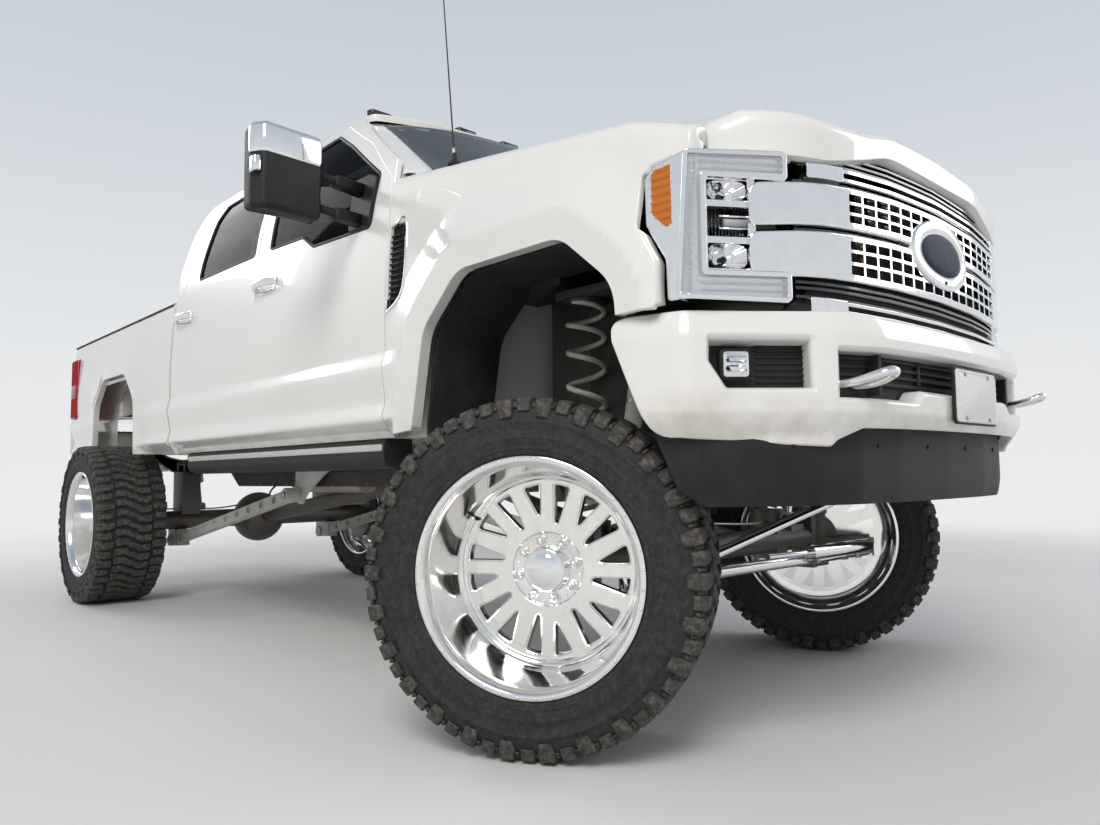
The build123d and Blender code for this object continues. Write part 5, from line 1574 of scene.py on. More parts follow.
def noseY(x):
    return softInterp(np.abs(x), hoodForm["nose"], 40)


def hoodMap(x, v):
    # v runs up the rolled front edge and then back along the top
    r = hoodForm["roll"]
    below = np.minimum(v, 0.0)
    bend = np.clip(v / r, 0, math.pi / 2)
    run = np.where(v < r * math.pi / 2, r * (1 - np.cos(bend)),
                   r + (v - r * math.pi / 2)) - below * 0.1
    y = noseY(x) + run
    top = softInterp(y, hoodForm["line"], 60) + softInterp(np.abs(x), hoodForm["dome"],
            16) * softInterp(y, hoodForm["rise"], 60)
    top = top + 18 * (1 - np.minimum(1, np.abs(x) / 760) ** 2) * np.interp(y, [-900, -500], [1, 0])
    shoulder = smoothStep((np.abs(x) - 775) / 96) * np.interp(y, [-480, -457], [1, 0])
    top = top - np.maximum(0, softInterp(y, hoodForm["line"],
                                         60) - ridge(np.maximum(y, -640)) + 3) * shoulder
    return np.stack([x, y, top - r * (1 - np.sin(bend)) + below], 1)


def hoodEnd(x):
    r = hoodForm["roll"]
    return hoodForm["rear"] - float(noseY(np.array([x]))[0]) - r + r * math.pi / 2


def hoodLip(x):
    # how far the painted edge hangs below the rolled nose
    return float(softInterp(abs(x), hoodForm["lip"], 30))


def placeHood():
    shape = Shape("hood")
    half = hoodForm["halfWidth"]
    xs = list(np.linspace(-half, half, 41))
    outline = [(x, hoodLip(x)) for x in xs] + [(x, hoodEnd(x)) for x in xs[::-1]]
    columns = sorted(set([float(v) for v in np.arange(-840, 841, 40)]
                         + [s * v for s in (-1, 1) for v in (270, 300, 335, 360, 385, 410, 430,
            460)]))
    rows = [-70, -50, -30, -12, 4, 10, 18, 28, 38, 48, 58, 66, 80, 96,
            114] + list(np.arange(135, 1700, 36))

    def hem(place):
        front = place[:, 1] < noseY(place[:, 0]) + 28
        count = len(place)
        return [(np.full(count, 2.0), np.full(count, 1.0)), (np.full(count, 3.0),
                np.full(count, 4.0)),
                (np.where(front, 14.0, 3.0), np.where(front, 30.0,
                                                      np.where(place[:, 1] > 560, 7.0, 24.0))
                 + np.zeros(count))]
    panelMesh(shape, hoodMap, outline, "paint", step=36, rows=rows, columns=columns, hem=hem)
    panelMesh(shape, lambda x, v: hoodMap(x, v) - surfaceNormal(hoodMap, np.stack([x, v], 1)) * 22,
              [(x * 0.985, 8.0 if v < 1 else v - 60) for x, v in outline], "seal", step=70,
              flip=True)
    shape.piece("hoodSkin", "hood_panel", ["hood"])
    # slotted strip and its sheet between the hood and the screen
    cowl = Shape("cowl")
    for k in range(60):
        x = -780 + k * 26.4
        y = 618 + 0.00009 * x * x
        z = float(hoodMap(np.array([x]), np.array([hoodEnd(x)]))[0][2]) + 6
        block(cowl, x, x + 12, y - 10, y + 40, z - 12, z, "softBlack", 2, 1.5)
    sheet = lambda x, y: np.stack([x, y, np.interp(np.abs(x), [0, 400, 800],
                                                   [2003.0, 1978, 1940]) - 20], 1)
    panelMesh(cowl, sheet, [(-800, 608), (800, 608), (800, 760), (500, 690), (0, 650), (-500, 690),
                            (-800, 760)], "blackPlastic", step=60)
    cowl.piece("cowlGrille", "chassis")


def placeSides():
    wing = fenderShape()
    ventInsert(wing)
    pair = wing.pair()
    pair.piece("wingSkins", "chassis", ["front_fenders"])
    bed = bedShape()
    bed.pair().piece("bedSkins", "chassis")


placeSides()
placeHood()
print("wings, bed and hood ready")

# Front end: grille, headlamps, bumper, air dam, hooks and plate

def planCurve(points, soften=22, mirrored=True):
    # distance along a plan outline -> (x, y), with rounded corners
    line = divided([tuple(p) for p in points], 4, closed=False)
    if mirrored:
        line = [(-x, y) for x, y in line[:0:-1]] + line
    line = np.array(line, float)
    reach = max(1, int(soften / 4))
    kernel = np.hanning(2 * reach + 3)[1:-1]
    kernel /= kernel.sum()
    before = 2 * line[0] - line[reach:0:-1]
    after = 2 * line[-1] - line[-2:-reach - 2:-1]
    whole = np.concatenate([before, line, after])
    line = np.stack([np.convolve(whole[:, k], kernel, "valid") for k in (0, 1)], 1)
    length = np.concatenate([[0], np.cumsum(np.hypot(*np.diff(line, axis=0).T))])
    if mirrored:
        length = length - np.interp(0, line[:, 0], length)
    return lambda s: (np.interp(s, length, line[:, 0]), np.interp(s, length,
            line[:, 1])), length, line


def curveMap(curve, back=0.0, lean=None):
    def mapAt(s, z):
        x, y = curve(s)
        dx0, dy0 = curve(s - 2)
        dx1, dy1 = curve(s + 2)
        nx, ny = dy1 - dy0, -(dx1 - dx0)
        size = np.hypot(nx, ny)
        inset = back + (lean(s, z) if lean else 0)
        return np.stack([x - nx / size * inset, y - ny / size * inset, z + 0 * s], 1)
    return mapAt


grilleForm = {"plan": [(0, -901), (300, -891), (500, -869), (620, -846), (700, -816), (812, -748)],
              "bars": ((1290.0, 1396.0), (1422.0, 1526.0)), "meshHalf": 522.0, "columns": 16,
              "rows": 3, "web": 6.0, "bow": 34.0,
              "strips": ((1203.0, 1210.0), (1226.0, 1233.0), (1549.0, 1556.0), (1573.0, 1580.0)),
              "blocks": ((1203.0, 1233.0), (1549.0, 1580.0))}


def placeGrille():
    curve, length, line = planCurve(grilleForm["plan"])
    sAt = lambda x: float(np.interp(x, line[:, 0], length))

    def bowed(back=0.0):
        # the bars rise towards the middle
        plain = curveMap(curve, back)

        def mapAt(s, z):
            place = plain(s, z)
            place[:, 2] += grilleForm["bow"] * (1 - np.minimum(1,
                    np.abs(place[:, 0]) / 812) ** 2) * smoothStep((z - 1215) / 180)
            return place
        return mapAt
    face = bowed()
    shape = Shape("grille")
    tip = sAt(811)
    half = sAt(grilleForm["meshHalf"])
    for z0, z1 in grilleForm["bars"]:
        outline = rounded(rectangle(-tip, tip, z0, z1), [26, 26, 14, 14] if z0 < 1350 else [14, 14,
                26, 26], 5)
        pitch = 2 * half / grilleForm["columns"]
        row = (z1 - z0 - 16) / grilleForm["rows"]
        holes = []
        for i in range(grilleForm["columns"]):
            for j in range(grilleForm["rows"]):
                a, b = -half + pitch * i + grilleForm["web"] / 2, -half + pitch * (i
                        + 1) - grilleForm["web"] / 2
                c, d = z0 + 8 + row * j + grilleForm["web"] / 2, z0 + 8 + row * (j
                        + 1) - grilleForm["web"] / 2
                holes.append(rounded(rectangle(a, b, c, d), 3, 2))
        panelMesh(shape, face, outline, "chrome", holes, step=40, hem=hemRings(6, 34),
                  holeHem=hemRings(1.6, 22, 2))
    for z0, z1 in grilleForm["strips"]:
        end = sAt(540)
        panelMesh(shape, bowed(6), rectangle(-end, end, z0, z1), "chrome", step=40,
                  hem=hemRings(1.5, 26, 2))
    for z0, z1 in grilleForm["blocks"]:
        for k in (-1, 1):
            a, b = sorted((k * sAt(536), k * sAt(664)))
            block = rounded(rectangle(a, b, z0 - 2, z1 + 2), 3, 2)
            panelMesh(shape, bowed(2), block, "chrome", step=30, hem=hemRings(2.5, 30))
    # black surround behind, with fins between the bars
    top = np.array([[0, 1690], [250, 1672], [500, 1652], [640, 1632], [735, 1612]])
    edge = [(sAt(x), z) for x, z in top] + [(-sAt(x), z) for x, z in top[::-1]]
    edge = [(-sAt(735), 1194), (sAt(735), 1194)] + edge[:5][::-1] + edge[5:]
    panelMesh(shape, bowed(36), edge, "softBlack", step=60, hem=hemRings(4, 20))
    for z in (1240, 1262, 1276, 1409, 1540, 1592, 1606, 1622):
        s = sAt(700)
        panelMesh(shape, bowed(20), rectangle(-s, s, z - 2.5, z + 2.5), "glossBlack", step=60,
                  hem=hemRings(1.5, 20, 2))
    # bare oval boss, bent with the grille: bright bezel round a plain dark face
    front, middle, bend = -906, 1409, 0.0003
    sizes = {"chrome": ((205, 107, 24), (205, 107, 4), (203, 105, -1), (196, 99, -4), (152, 68, -2),
                        (148, 64, 1), (146, 62, 8)),
             "emblemFace": ((150, 66, 3), (144, 61, 1), (100, 42, -1), (2, 1, -2))}
    turns = [2 * math.pi * i / 72 for i in range(72)]
    for material, rings in sizes.items():
        points = [(rx * math.cos(a), front + drop + bend * (rx * math.cos(a)) ** 2,
                   middle + grilleForm["bow"] + rz * math.sin(a))
                  for rx, rz, drop in rings for a in turns]
        shape.add(points, gridFaces(len(rings), 72, closeColumns=True), material)
    dome(shape, (0, front - 3, middle + grilleForm["bow"] - 84), (0, -1, 0), 7, 5, "glossBlack", 14)
    shape.piece("grilleFinish", "chassis", ["grille"])
    return curve, sAt


lampForm = {"plan": [(968, -526), (966, -560), (960, -654), (752, -790), (722, -806), (700, -816)]}


def placeLamps():
    flat = planCurve(lampForm["plan"], 26, mirrored=False)[0]
    curve = lambda s: flat(-s)
    surface = curveMap(curve)
    deep = lambda back: curveMap(curve, back)
    shape = Shape("lamps")
    side = [(-2, 1436), (-2, 1560), (-32, 1587), (-124, 1600), (-96, 1228), (-67, 1228),
            (-64, 1334)]
    amber = [(-17, 1462), (-17, 1566), (-24, 1574), (-76, 1583), (-82, 1578), (-82, 1426),
             (-70, 1416), (-60, 1420)]
    amber = rounded(amber, 4, 2)
    panelMesh(shape, deep(3), rounded(side, [6, 8, 10, 2, 2, 6, 30], 3), "chrome", [amber], step=24,
              hem=hemRings(5, 40),
              holeHem=hemRings(1.5, 6))
    panelMesh(shape, lambda s, z: deep(5)(s, z) - surfaceNormal(surface,
            np.stack([s, z], 1)) * (2.5 * np.sin(z * 0.29))[:, None],
              grown(amber, 3), "amber", step=5)
    outer = rounded([(-96, 1226), (-124, 1606), (-392, 1612), (-402, 1604), (-402, 1548),
                     (-394, 1540), (-176, 1543), (-176, 1294),
                     (-394, 1294), (-406, 1288), (-406, 1228), (-396, 1220)],
                    [14, 10, 8, 6, 6, 6, 14, 14, 6, 6, 6, 8], 4)
    frameHole = rounded([(-104, 1233), (-131, 1599), (-388, 1604), (-394, 1598), (-394, 1554),
                         (-168, 1552), (-168, 1285), (-398, 1285),
                         (-398, 1234), (-392, 1228)], [10, 8, 6, 4, 4, 12, 12, 4, 4, 6], 4)
    panelMesh(shape, surface, outer, "chrome", [frameHole], step=18, hem=hemRings(4, 46),
              holeHem=hemRings(2, 8))
    panelMesh(shape, deep(5), grown(frameHole, 3), "ledPipe", step=16)
    panelMesh(shape, deep(26), grown(frameHole, 3), "reflector", step=22)
    # rows of small lights inside the pipe
    rowsOf = [[(-shift - 0.07 * (z - 1600), z) for z in range(1240, 1596, 13)] for shift in (142,
            157)]
    rowsOf += [[(-s, z) for s in range(172, 390, 13)] for z in (1566,
            1582)] + [[(-s, z) for s in range(172, 396, 13)] for z in (1248, 1266)]
    for row in rowsOf:
        for s, z in row:
            at = deep(22)(np.array([float(s)]), np.array([float(z)]))[0]
            n = surfaceNormal(surface, np.array([[float(s), float(z)]]))[0]
            dome(shape, at, n, 5.4, 9, "reflector", 8)
    # three cells behind the mouth
    cells = ((1303, 1372), (1386, 1468), (1482, 1538))
    holes = [rounded(rectangle(-186, -300, z0, z1), 6, 3) for z0, z1 in cells]
    plate = [(-174, 1290), (-174, 1546), (-318, 1546), (-318, 1290)]
    panelMesh(shape, deep(16), plate, "chrome", holes, step=24, hem=hemRings(2, 30),
              holeHem=hemRings(2, 52))
    panelMesh(shape, deep(74), plate, "deepBlack", step=60)
    for number, (z0, z1) in enumerate(cells):
        middle = (z0 + z1) / 2
        if number == 1:
            for k in range(12):
                s = -190 - 9.2 * k
                path = deep(38)(np.array([s, s]), np.array([z0 + 3.0, z1 - 3]))
                tube(shape, [tuple(p) for p in path], 4.4, "lens", 8)
            for z in (middle - 16, middle + 16):
                path = deep(24)(np.array([-222.0, -300]), np.array([z, z]))
                tube(shape, [tuple(p) for p in path], 3.2, "chrome", 8)
            path = deep(30)(np.array([-236.0, -296]), np.array([middle, middle]))
            tube(shape, [tuple(p) for p in path], 11, "ledPipe", 14)
            continue
        at = deep(70)(np.array([-243.0]), np.array([middle]))[0]
        n = surfaceNormal(surface, np.array([[-243.0, middle]]))[0]
        bowl(shape, at, n, (54, (z1 - z0) / 2 - 1), 48, "reflector")
        dome(shape, at, n, 13, 22, "lens", 16)
    pair = shape.pair()
    pair.piece("headlampFinish", "chassis", ["headlamps"], 30)


def bowl(shape, centre, axis, radii, depth, material, sides=32):
    # fluted reflector that opens along its axis
    z = Vector(axis).normalized()
    x = Vector((0, 0, 1)).cross(z).normalized()
    y = z.cross(x)
    points = []
    for k in range(7):
        t = k / 6
        wide = 0.18 + 0.82 * t ** 0.6
        for i in range(sides):
            a = 2 * math.pi * i / sides
            flute = 1.0 - 0.03 * (i % 2)
            c = math.copysign(abs(math.cos(a)) ** 0.6, math.cos(a)) * radii[0] * wide * flute
            s = math.copysign(abs(math.sin(a)) ** 0.6, math.sin(a)) * radii[1] * wide * flute
            points.append(tuple(Vector(centre) + z * depth * t + x * c + y * s))
    shape.add(points, gridFaces(7, sides, closeColumns=True, flip=True), material)


bumperForm = {"plan": [(0, -970), (300, -962), (500, -940), (640, -885), (800, -760), (908, -677),
                       (960, -640), (1000, -500),
                       (1003, -400)], "low": 878.0, "high": 1193.0}


def bumperLean(s, z):
    # the face leans back below its lower crease, and a bevel runs round the openings' band
    low = np.clip((938 - z) / 60, 0, 1.2)
    high = np.clip((z - 1128) / 67, 0, 1.1)
    return 30 * low ** 1.3 + 20 * high ** 1.5


fogLamp = {"out": 848, "height": 1060.0, "back": 34, "half": 40, "depth": 36}


def placeBumper():
    curve, length, line = planCurve(bumperForm["plan"], 40)
    sAt = lambda x: float(np.interp(x, line[:2 + np.argmax(line[:, 0] > 999), 0],
                                    length[:2 + np.argmax(line[:, 0] > 999)]))
    surface = curveMap(curve, 0, bumperLean)
    end = float(length[-1])
    shape = Shape("bumper")
    # columns: distance from the middle, height; the lower edge steps up under the plate
    half = [(0, 900), (205, 900), (sAt(560), 899), (sAt(650), 856), (end - 150, 880),
            (end - 32, 1140),
            (end - 20, 1186), (end - 60, 1193), (820, 1193), (560, 1193), (470, 1180), (0, 1178)]
    outline = half + [(-s, z) for s, z in half[::-1]]
    outline = cleaned(outline, 3)
    outline = rounded(outline, [60 if z < 890 and abs(s) > end - 200 else 24 for s, z in outline],
                      4)
    fogs = []
    for k in (-1, 1):
        a, b = sAt(722) - 46, sAt(903) + 16
        fog = [(k * a, 984), (k * (a + 2), 1124), (k * (a + 14), 1136), (k * b, 1138),
               (k * (b + 2), 1062), (k * (b - 48), 984)]
        fogs.append(rounded(fog, [14, 8, 12, 14, 20, 24], 4))
    c = sAt(646)
    right = [(c, 960), (c, 1098), (c - 12, 1108), (0, 1108)]
    centre = [(-s, z) for s, z in right[:3]] + [(s, z) for s, z in right[:3][::-1]] + [(345, 957),
            (310, 988), (-310, 988), (-345, 957)]
    centre = rounded(centre, [10, 10, 12, 12, 10, 10, 16, 16, 16, 16], 4)
    rows = [886, 896, 908, 920, 932, 944, 958] + list(np.arange(975, 1120, 20)) + [1128, 1140, 1152,
            1164, 1176, 1186]
    flare = [(2.0, 0.6), (8, 5), (13, 12), (15, 20), (15.5, 62)]
    panelMesh(shape, surface, outline, "paint", [centre] + fogs, step=26, rows=rows,
              hem=hemRings(9, 26), holeHem=flare)
    shape.piece("bumperSkin", "chassis", ["front_bumper"])
    inner = Shape("bumperInner")
    panelMesh(inner, curveMap(curve, 66), rounded(rectangle(-sAt(700), sAt(700), 940, 1130), 8, 2),
              "softBlack", step=60)
    for z in (1018, 1040, 1062, 1084):
        s = sAt(640)
        panelMesh(inner, curveMap(curve, 56), rectangle(-s, s, z - 3, z + 3), "blackPlastic",
                  step=60, hem=hemRings(2, 8, 2))
    for k in (-1, 1):
        for s in (230, 470):
            block(inner, k * s - 9, k * s + 9, -910, -860, 985, 1104, "blackPlastic", 3, 2)
        a, b = sorted((k * sAt(660), k * sAt(945)))
        panelMesh(inner, curveMap(curve, 60), rectangle(a, b, 965, 1150), "softBlack", step=40)
        for z in range(1000, 1130, 16):
            panelMesh(inner, curveMap(curve, 54), rectangle(k * sAt(690), k * sAt(800), z,
                    z + 4)[::k], "blackPlastic",
                      step=40, hem=hemRings(1, 6, 2))
        # fog lamp: square pod with a bright reflector under its lens
        at, n = spotOn(curveMap(curve, fogLamp["back"]), k * float(sAt(fogLamp["out"])), fogLamp["height"])
        squarePod(inner, at, n, fogLamp["half"], fogLamp["depth"])
    inner.piece("bumperInner", "chassis")
    # air dam
    dam = Shape("dam")
    damCurve, damLength, damLine = planCurve([(0, -892), (300, -885), (500, -864), (640, -820),
                                              (800, -716), (905, -616), (934, -520)], 30)
    e = float(damLength[-1])
    lean = lambda s, z: 10 * np.clip((760 - z) / 60, 0, 1) ** 1.5
    step = [(-e + 130, 700), (e - 130, 700), (e - 60, 740), (e, 880), (e - 4, 912), (-e + 4, 912),
            (-e, 880), (-e + 60, 740)]
    panelMesh(dam, curveMap(damCurve, 0, lean), rounded(step, [30, 30, 24, 6, 6, 6, 6, 24], 4),
              "blackPlastic", step=34, hem=hemRings(5, 16))
    panelMesh(dam, curveMap(damCurve, 20, lean), grown(rounded(step, [30, 30, 24, 6, 6, 6, 6, 24],
            4), -1), "softBlack", step=60, flip=True)
    for x in (-700, -420, -140, 140, 420, 700):
        s = float(np.interp(x, damLine[:, 0], damLength))
        at, n = spotOn(curveMap(damCurve, 0), s, 852.0)
        bolt(dam, at, n, 6, "blackPlastic")
    dam.piece("airDamFinish", "chassis", ["air_dam"])


def squarePod(shape, centre, axis, half, depth):
    z = Vector(axis).normalized()
    x = Vector((0, 0, 1)).cross(z).normalized()
    y = z.cross(x)
    at = lambda u, v, w: tuple(Vector(centre) + x * u + y * v + z * w)
    for size, w0, w1, material in ((half, -depth, 6, "blackPlastic"),
                                   (half * 0.82, 2, 9, "reflector"), (half * 0.80, 12, 15, "lens")):
        ring = rounded(rectangle(-size, size, -size, size), size * 0.22, 4)
        small = grown(ring, -2.5)
        points = [at(u, v, w0) for u, v in ring] + [at(u, v, w1 - 2) for u,
                                                    v in ring] + [at(u, v, w1) for u, v in small]
        n = len(ring)
        shape.add(points, gridFaces(3, n, closeColumns=True) + [capFace(2 * n, n)], material)
    for v in (-half * 0.3, half * 0.3):
        bowl(shape, at(0, v, 8), z, (half * 0.7, half * 0.24), 5, "chrome", 20)


def placeHooks():
    shape = Shape("hooks")
    for k in (-1, 1):
        path = [(k * 536, -812, 1012), (k * 538, -900, 1010), (k * 541, -950, 1018),
                (k * 548, -982, 1030), (k * 562, -992, 1034),
                (k * 580, -990, 1034), (k * 594, -978, 1030), (k * 600, -950, 1022),
                (k * 601, -890, 1012), (k * 599, -804, 1010)]
        tube(shape, softened(path, 6), 12.0, "chrome", 16)
        block(shape, k * 570 - 56, k * 570 + 56, -836, -800, 980, 1046, "blackPlastic", 6, 3, "y")
    shape.piece("towHookFinish", "chassis", ["tow_hooks"])
    plate = Shape("plate")
    outline = rounded(rectangle(922, 1075, -152, 152), 12, 4)
    prism(plate, outline, -983, -979, "plateFace", "y", 1.0)
    band = rounded(rectangle(922, 1075, -152, 152), 12, 4)
    closedSweep(plate, [(x, -982.5, z) for z, x in grown(band, -5)], circle(2.2, 6), "plateFace",
                (0, 1, 0))
    prism(plate, grown(outline, 6), -979.5, -970, "blackPlastic", "y", 2)
    for x in (-88, 88):
        for z in (934, 1063):
            bolt(plate, (x, -983, z), (0, -1, 0), 6, "steel")
    plate.piece("plateFinish", "chassis", ["front_plate"])


placeGrille()
placeLamps()
placeBumper()
placeHooks()
print("front end ready")

# Mirrors, lamps at the rear, bed, tailgate and rear bumper

def recolour(obj, material, test):
    # gives the faces that pass a test of place (truck mm) and normal another material
    mesh = obj.data
    mesh.materials.append(materials[material])
    slot = len(mesh.materials) - 1
    for face in mesh.polygons:
        c = face.center
        if test((c.x * 1000, c.y * 1000 - frontAxleY, c.z * 1000), face.normal):
            face.material_index = slot


mirrorForm = {"low": 1750.0, "high": 2070.0, "capFrom": 1944.0,
              "plan": [(1151, 902), (1386, 882), (1418, 930), (1418, 982), (1151, 996)],
              "sail": [(890, 1768), (1038, 1776), (1038, 1983), (930, 1983), (864, 1958)],
              "arms": (((950, 965, 1800), (1180, 950, 1815)),
                       ((940, 975, 1930), (1180, 955, 1945)))}


def mirrorShape():
    shape = Shape("mirror")
    low, high = mirrorForm["low"], mirrorForm["high"]
    plan = rounded(mirrorForm["plan"], [24, 26, 20, 14, 14], 5)
    prism(shape, plan, low, high, "blackPlastic", "z", 24, 6)
    cap = rounded([(1148, 899), (1387, 878.5), (1420.5, 928), (1420.5, 952), (1148, 952)],
                  [26, 28, 20, 8, 8], 5)
    prism(shape, cap, mirrorForm["capFrom"], high + 2, "chrome", "z", 24, 6)
    block(shape, 1394, 1421, 893, 936, 1880, 1936, "reflector", 8, 4)
    block(shape, 1392, 1423, 890, 939, 1876, 1940, "lens", 9, 5)
    block(shape, 1155, 1414, 970, 1001, low + 8, high - 8, "blackPlastic", 16, 4, "y")
    block(shape, 1170, 1402, 990, 1003, 1856, 2050, "reflector", 14, 1.5, "y")
    block(shape, 1170, 1402, 990, 1003, 1768, 1840, "reflector", 12, 1.5, "y")
    for start, end in mirrorForm["arms"]:
        start, end = Vector(start), Vector(end)
        tube(shape, [tuple(start), tuple(end)], 17, "blackPlastic", 18)
        section = rounded(rectangle(-25, 25, -22, 22), 8, 3)
        near = start + (end - start) * 0.56
        swept(shape, [tuple(start), tuple(start + (near - start) * 0.93), tuple(near)], section,
              "blackPlastic", (0, 0, 1), scales=(1.1, 1.0, 0.82))
    panelMesh(shape, sideInset(-12), rounded(mirrorForm["sail"], [10, 10, 10, 16, 16], 4),
              "blackPlastic", step=30, hem=hemRings(7, 30, 4))
    return shape


def tailLampShape():
    shape = Shape("tailLamp")
    block(shape, 881, 984, 5133, 5291, 1247, 1706, "redLens", 16, 12)
    block(shape, 882, 985.5, 5134, 5292.5, 1418, 1502, "lens", 15, 3)
    block(shape, 890, 980, 5140, 5286, 1426, 1494, "reflector", 12, 3)
    for y, z0, z1 in [(5150 + 15 * k, 1262, 1410) for k in range(9)] + [(5150 + 15 * k, 1510,
            1692) for k in range(9)]:
        tube(shape, [(983.6, y, z0), (983.6, y, z1)], 3.2, "redLens", 8)
    for x, z0, z1 in [(894 + 14 * k, 1262, 1410) for k in range(6)] + [(894 + 14 * k, 1510,
            1692) for k in range(6)]:
        tube(shape, [(x, 5290.6, z0), (x, 5290.6, z1)], 3.2, "redLens", 8)
    return shape


def bedInside():
    # inner wall with its arch cut-out, tie-down hooks and a drain rib
    shape = Shape("bedInside")
    arch = archPath(rearArch, 925, True)
    outline = [(3108, 925), (3108, 1802), (5286, 1802), (5286, 1172), (5246, 1172), (5246, 925)]
    outline = cleaned(outline + [p for p in arch[::-1] if p[1] > 925], 2.0)
    wall = lambda y, z: np.stack([850 + 0 * y, y, z], 1)
    panelMesh(shape, wall, outline, "paint", step=60, flip=True)
    for z in (1500, 1740):
        section = rounded(rectangle(-5, 5, -14, 14), 4, 3)
        swept(shape, [(847, 3150, z), (847, 5090, z)], section, "paint", (0, 0, 1))
    for y in (3240, 4960):
        block(shape, 836, 850, y - 30, y + 30, 1340, 1420, "blackPlastic", 6, 3, "x")
        tube(shape, softened([(838, y - 16, 1395), (822, y - 14, 1385), (818, y, 1365),
                              (822, y + 14, 1385), (838, y + 16, 1395)], 5), 5, "chrome", 10)
    return shape


def tailgateParts():
    shape = Shape("tailgateParts")
    block(shape, -836, 836, 5234, 5294, 1802, 1812, "softBlack", 8, 4)
    block(shape, -132, 132, 5278, 5284, 1588, 1680, "glossBlack", 14, 2, "y")
    block(shape, -104, 104, 5282, 5293, 1628, 1668, "chrome", 14, 4, "y")
    block(shape, -24, 24, 5282, 5290, 1596, 1618, "blackPlastic", 8, 3, "y")
    dome(shape, (0, 5289, 1607), (0, 1, 0), 8, 5, "lens", 16)
    for x0, x1 in ((-760, -290), (-250, 250), (290, 760)):
        block(shape, x0, x1, 5233, 5238, 1340, 1720, "paint", 40, 2, "y")
        for z in (1420, 1500, 1580, 1660):
            block(shape, x0 + 40, x1 - 40, 5230.5, 5235, z - 9, z + 9, "paint", 8, 2, "y")
    return shape


def rearBumperParts():
    shape = Shape("rearBumperParts")
    for k in (-1, 1):
        x0, x1 = sorted((k * 372, k * 872))
        block(shape, x0, x1, 5258, 5366, 1160, 1168.5, "softBlack", 14, 3)
        for i in range(12):
            x = k * (392 + 41 * i)
            block(shape, x - 8, x + 8, 5270, 5354, 1166, 1171.5, "blackPlastic", 5, 2)
        for x in (k * 430, k * 780):
            turned(shape, [(0, 14), (5, 13), (6, 9), (5, 0.4)], 24, "softBlack",
                   (x, 5379 if abs(x) < 500 else 5371, 1085), "y")
        dome(shape, (k * 150, 5374, 1136), (0, 0.6, -0.8), 10, 8, "lens", 14)
    prism(shape, rounded(rectangle(996, 1146, -152, 152), 12, 4), 5369, 5372.5, "plateFace", "y",
          1.0)
    closedSweep(shape, [(x, 5372.5, z) for z, x in grown(rounded(rectangle(996, 1146, -152, 152),
            12, 4), -5)],
                circle(2.2, 6), "plateFace", (0, 1, 0))
    ring = rounded(rectangle(-38, 38, -38, 38), 8, 3)
    hole = grown(ring, -9)
    points = [(x, y, 950 + z) for y, edge in ((5230, ring), (5372, ring), (5374, grown(ring, -2)),
                                              (5374, grown(hole, 2)), (5372, hole), (5230, hole))
              for x, z in edge]
    shape.add(points, gridFaces(6, len(ring), closeColumns=True, flip=True), "chassisPaint")
    return shape


def placeRear():
    own = mirrorShape()
    own.piece("mirrorFinish_left", "door_front_left", ["mirror_left"])
    own.mirrored().piece("mirrorFinish_right", "door_front_right", ["mirror_right"])
    lamp = tailLampShape()
    lamp.pair().piece("tailLampFinish", "chassis", ["tail_lamps"])
    wall = bedInside()
    wall.pair().piece("bedWalls", "chassis", ["bed_sides"])
    roundedCopy("cargo_bed", "chassis", "paint", 4)
    roundedCopy("wheel_housings", "chassis", "paint", 14, 3)
    roundedCopy("tailgate", "tailgate_panel", "paint", 7, 3, extra=tailgateParts())
    roundedCopy("rear_bumper", "chassis", "paint", 9, 3, extra=rearBumperParts())


# Suspension, axles and steering

springForm = {"x": 560.0, "y": 98.0, "radius": 64.0, "wire": 9.5, "turns": 7, "low": axleZ + 122.3,
              "high": 1391.7}


def springShape():
    f = springForm
    shape = Shape("springs")
    count = f["turns"] * 22
    path = []
    for i in range(count + 1):
        t = i / count
        a = 2 * math.pi * f["turns"] * t
        rise = t - 0.035 * math.sin(2 * math.pi * t)
        path.append((f["x"] + f["radius"] * math.cos(a), f["y"] + f["radius"] * math.sin(a),
                     f["low"] + f["wire"] + (f["high"] - f["low"] - 2 * f["wire"]) * rise))
    tube(shape, path, f["wire"], "springCoat", 12)
    turned(shape, [(0, 30), (0, 78), (9, 80), (14, 76), (14, 30)], 40, "seal",
           (f["x"], f["y"], f["high"] - 12), "z")
    return shape.pair()


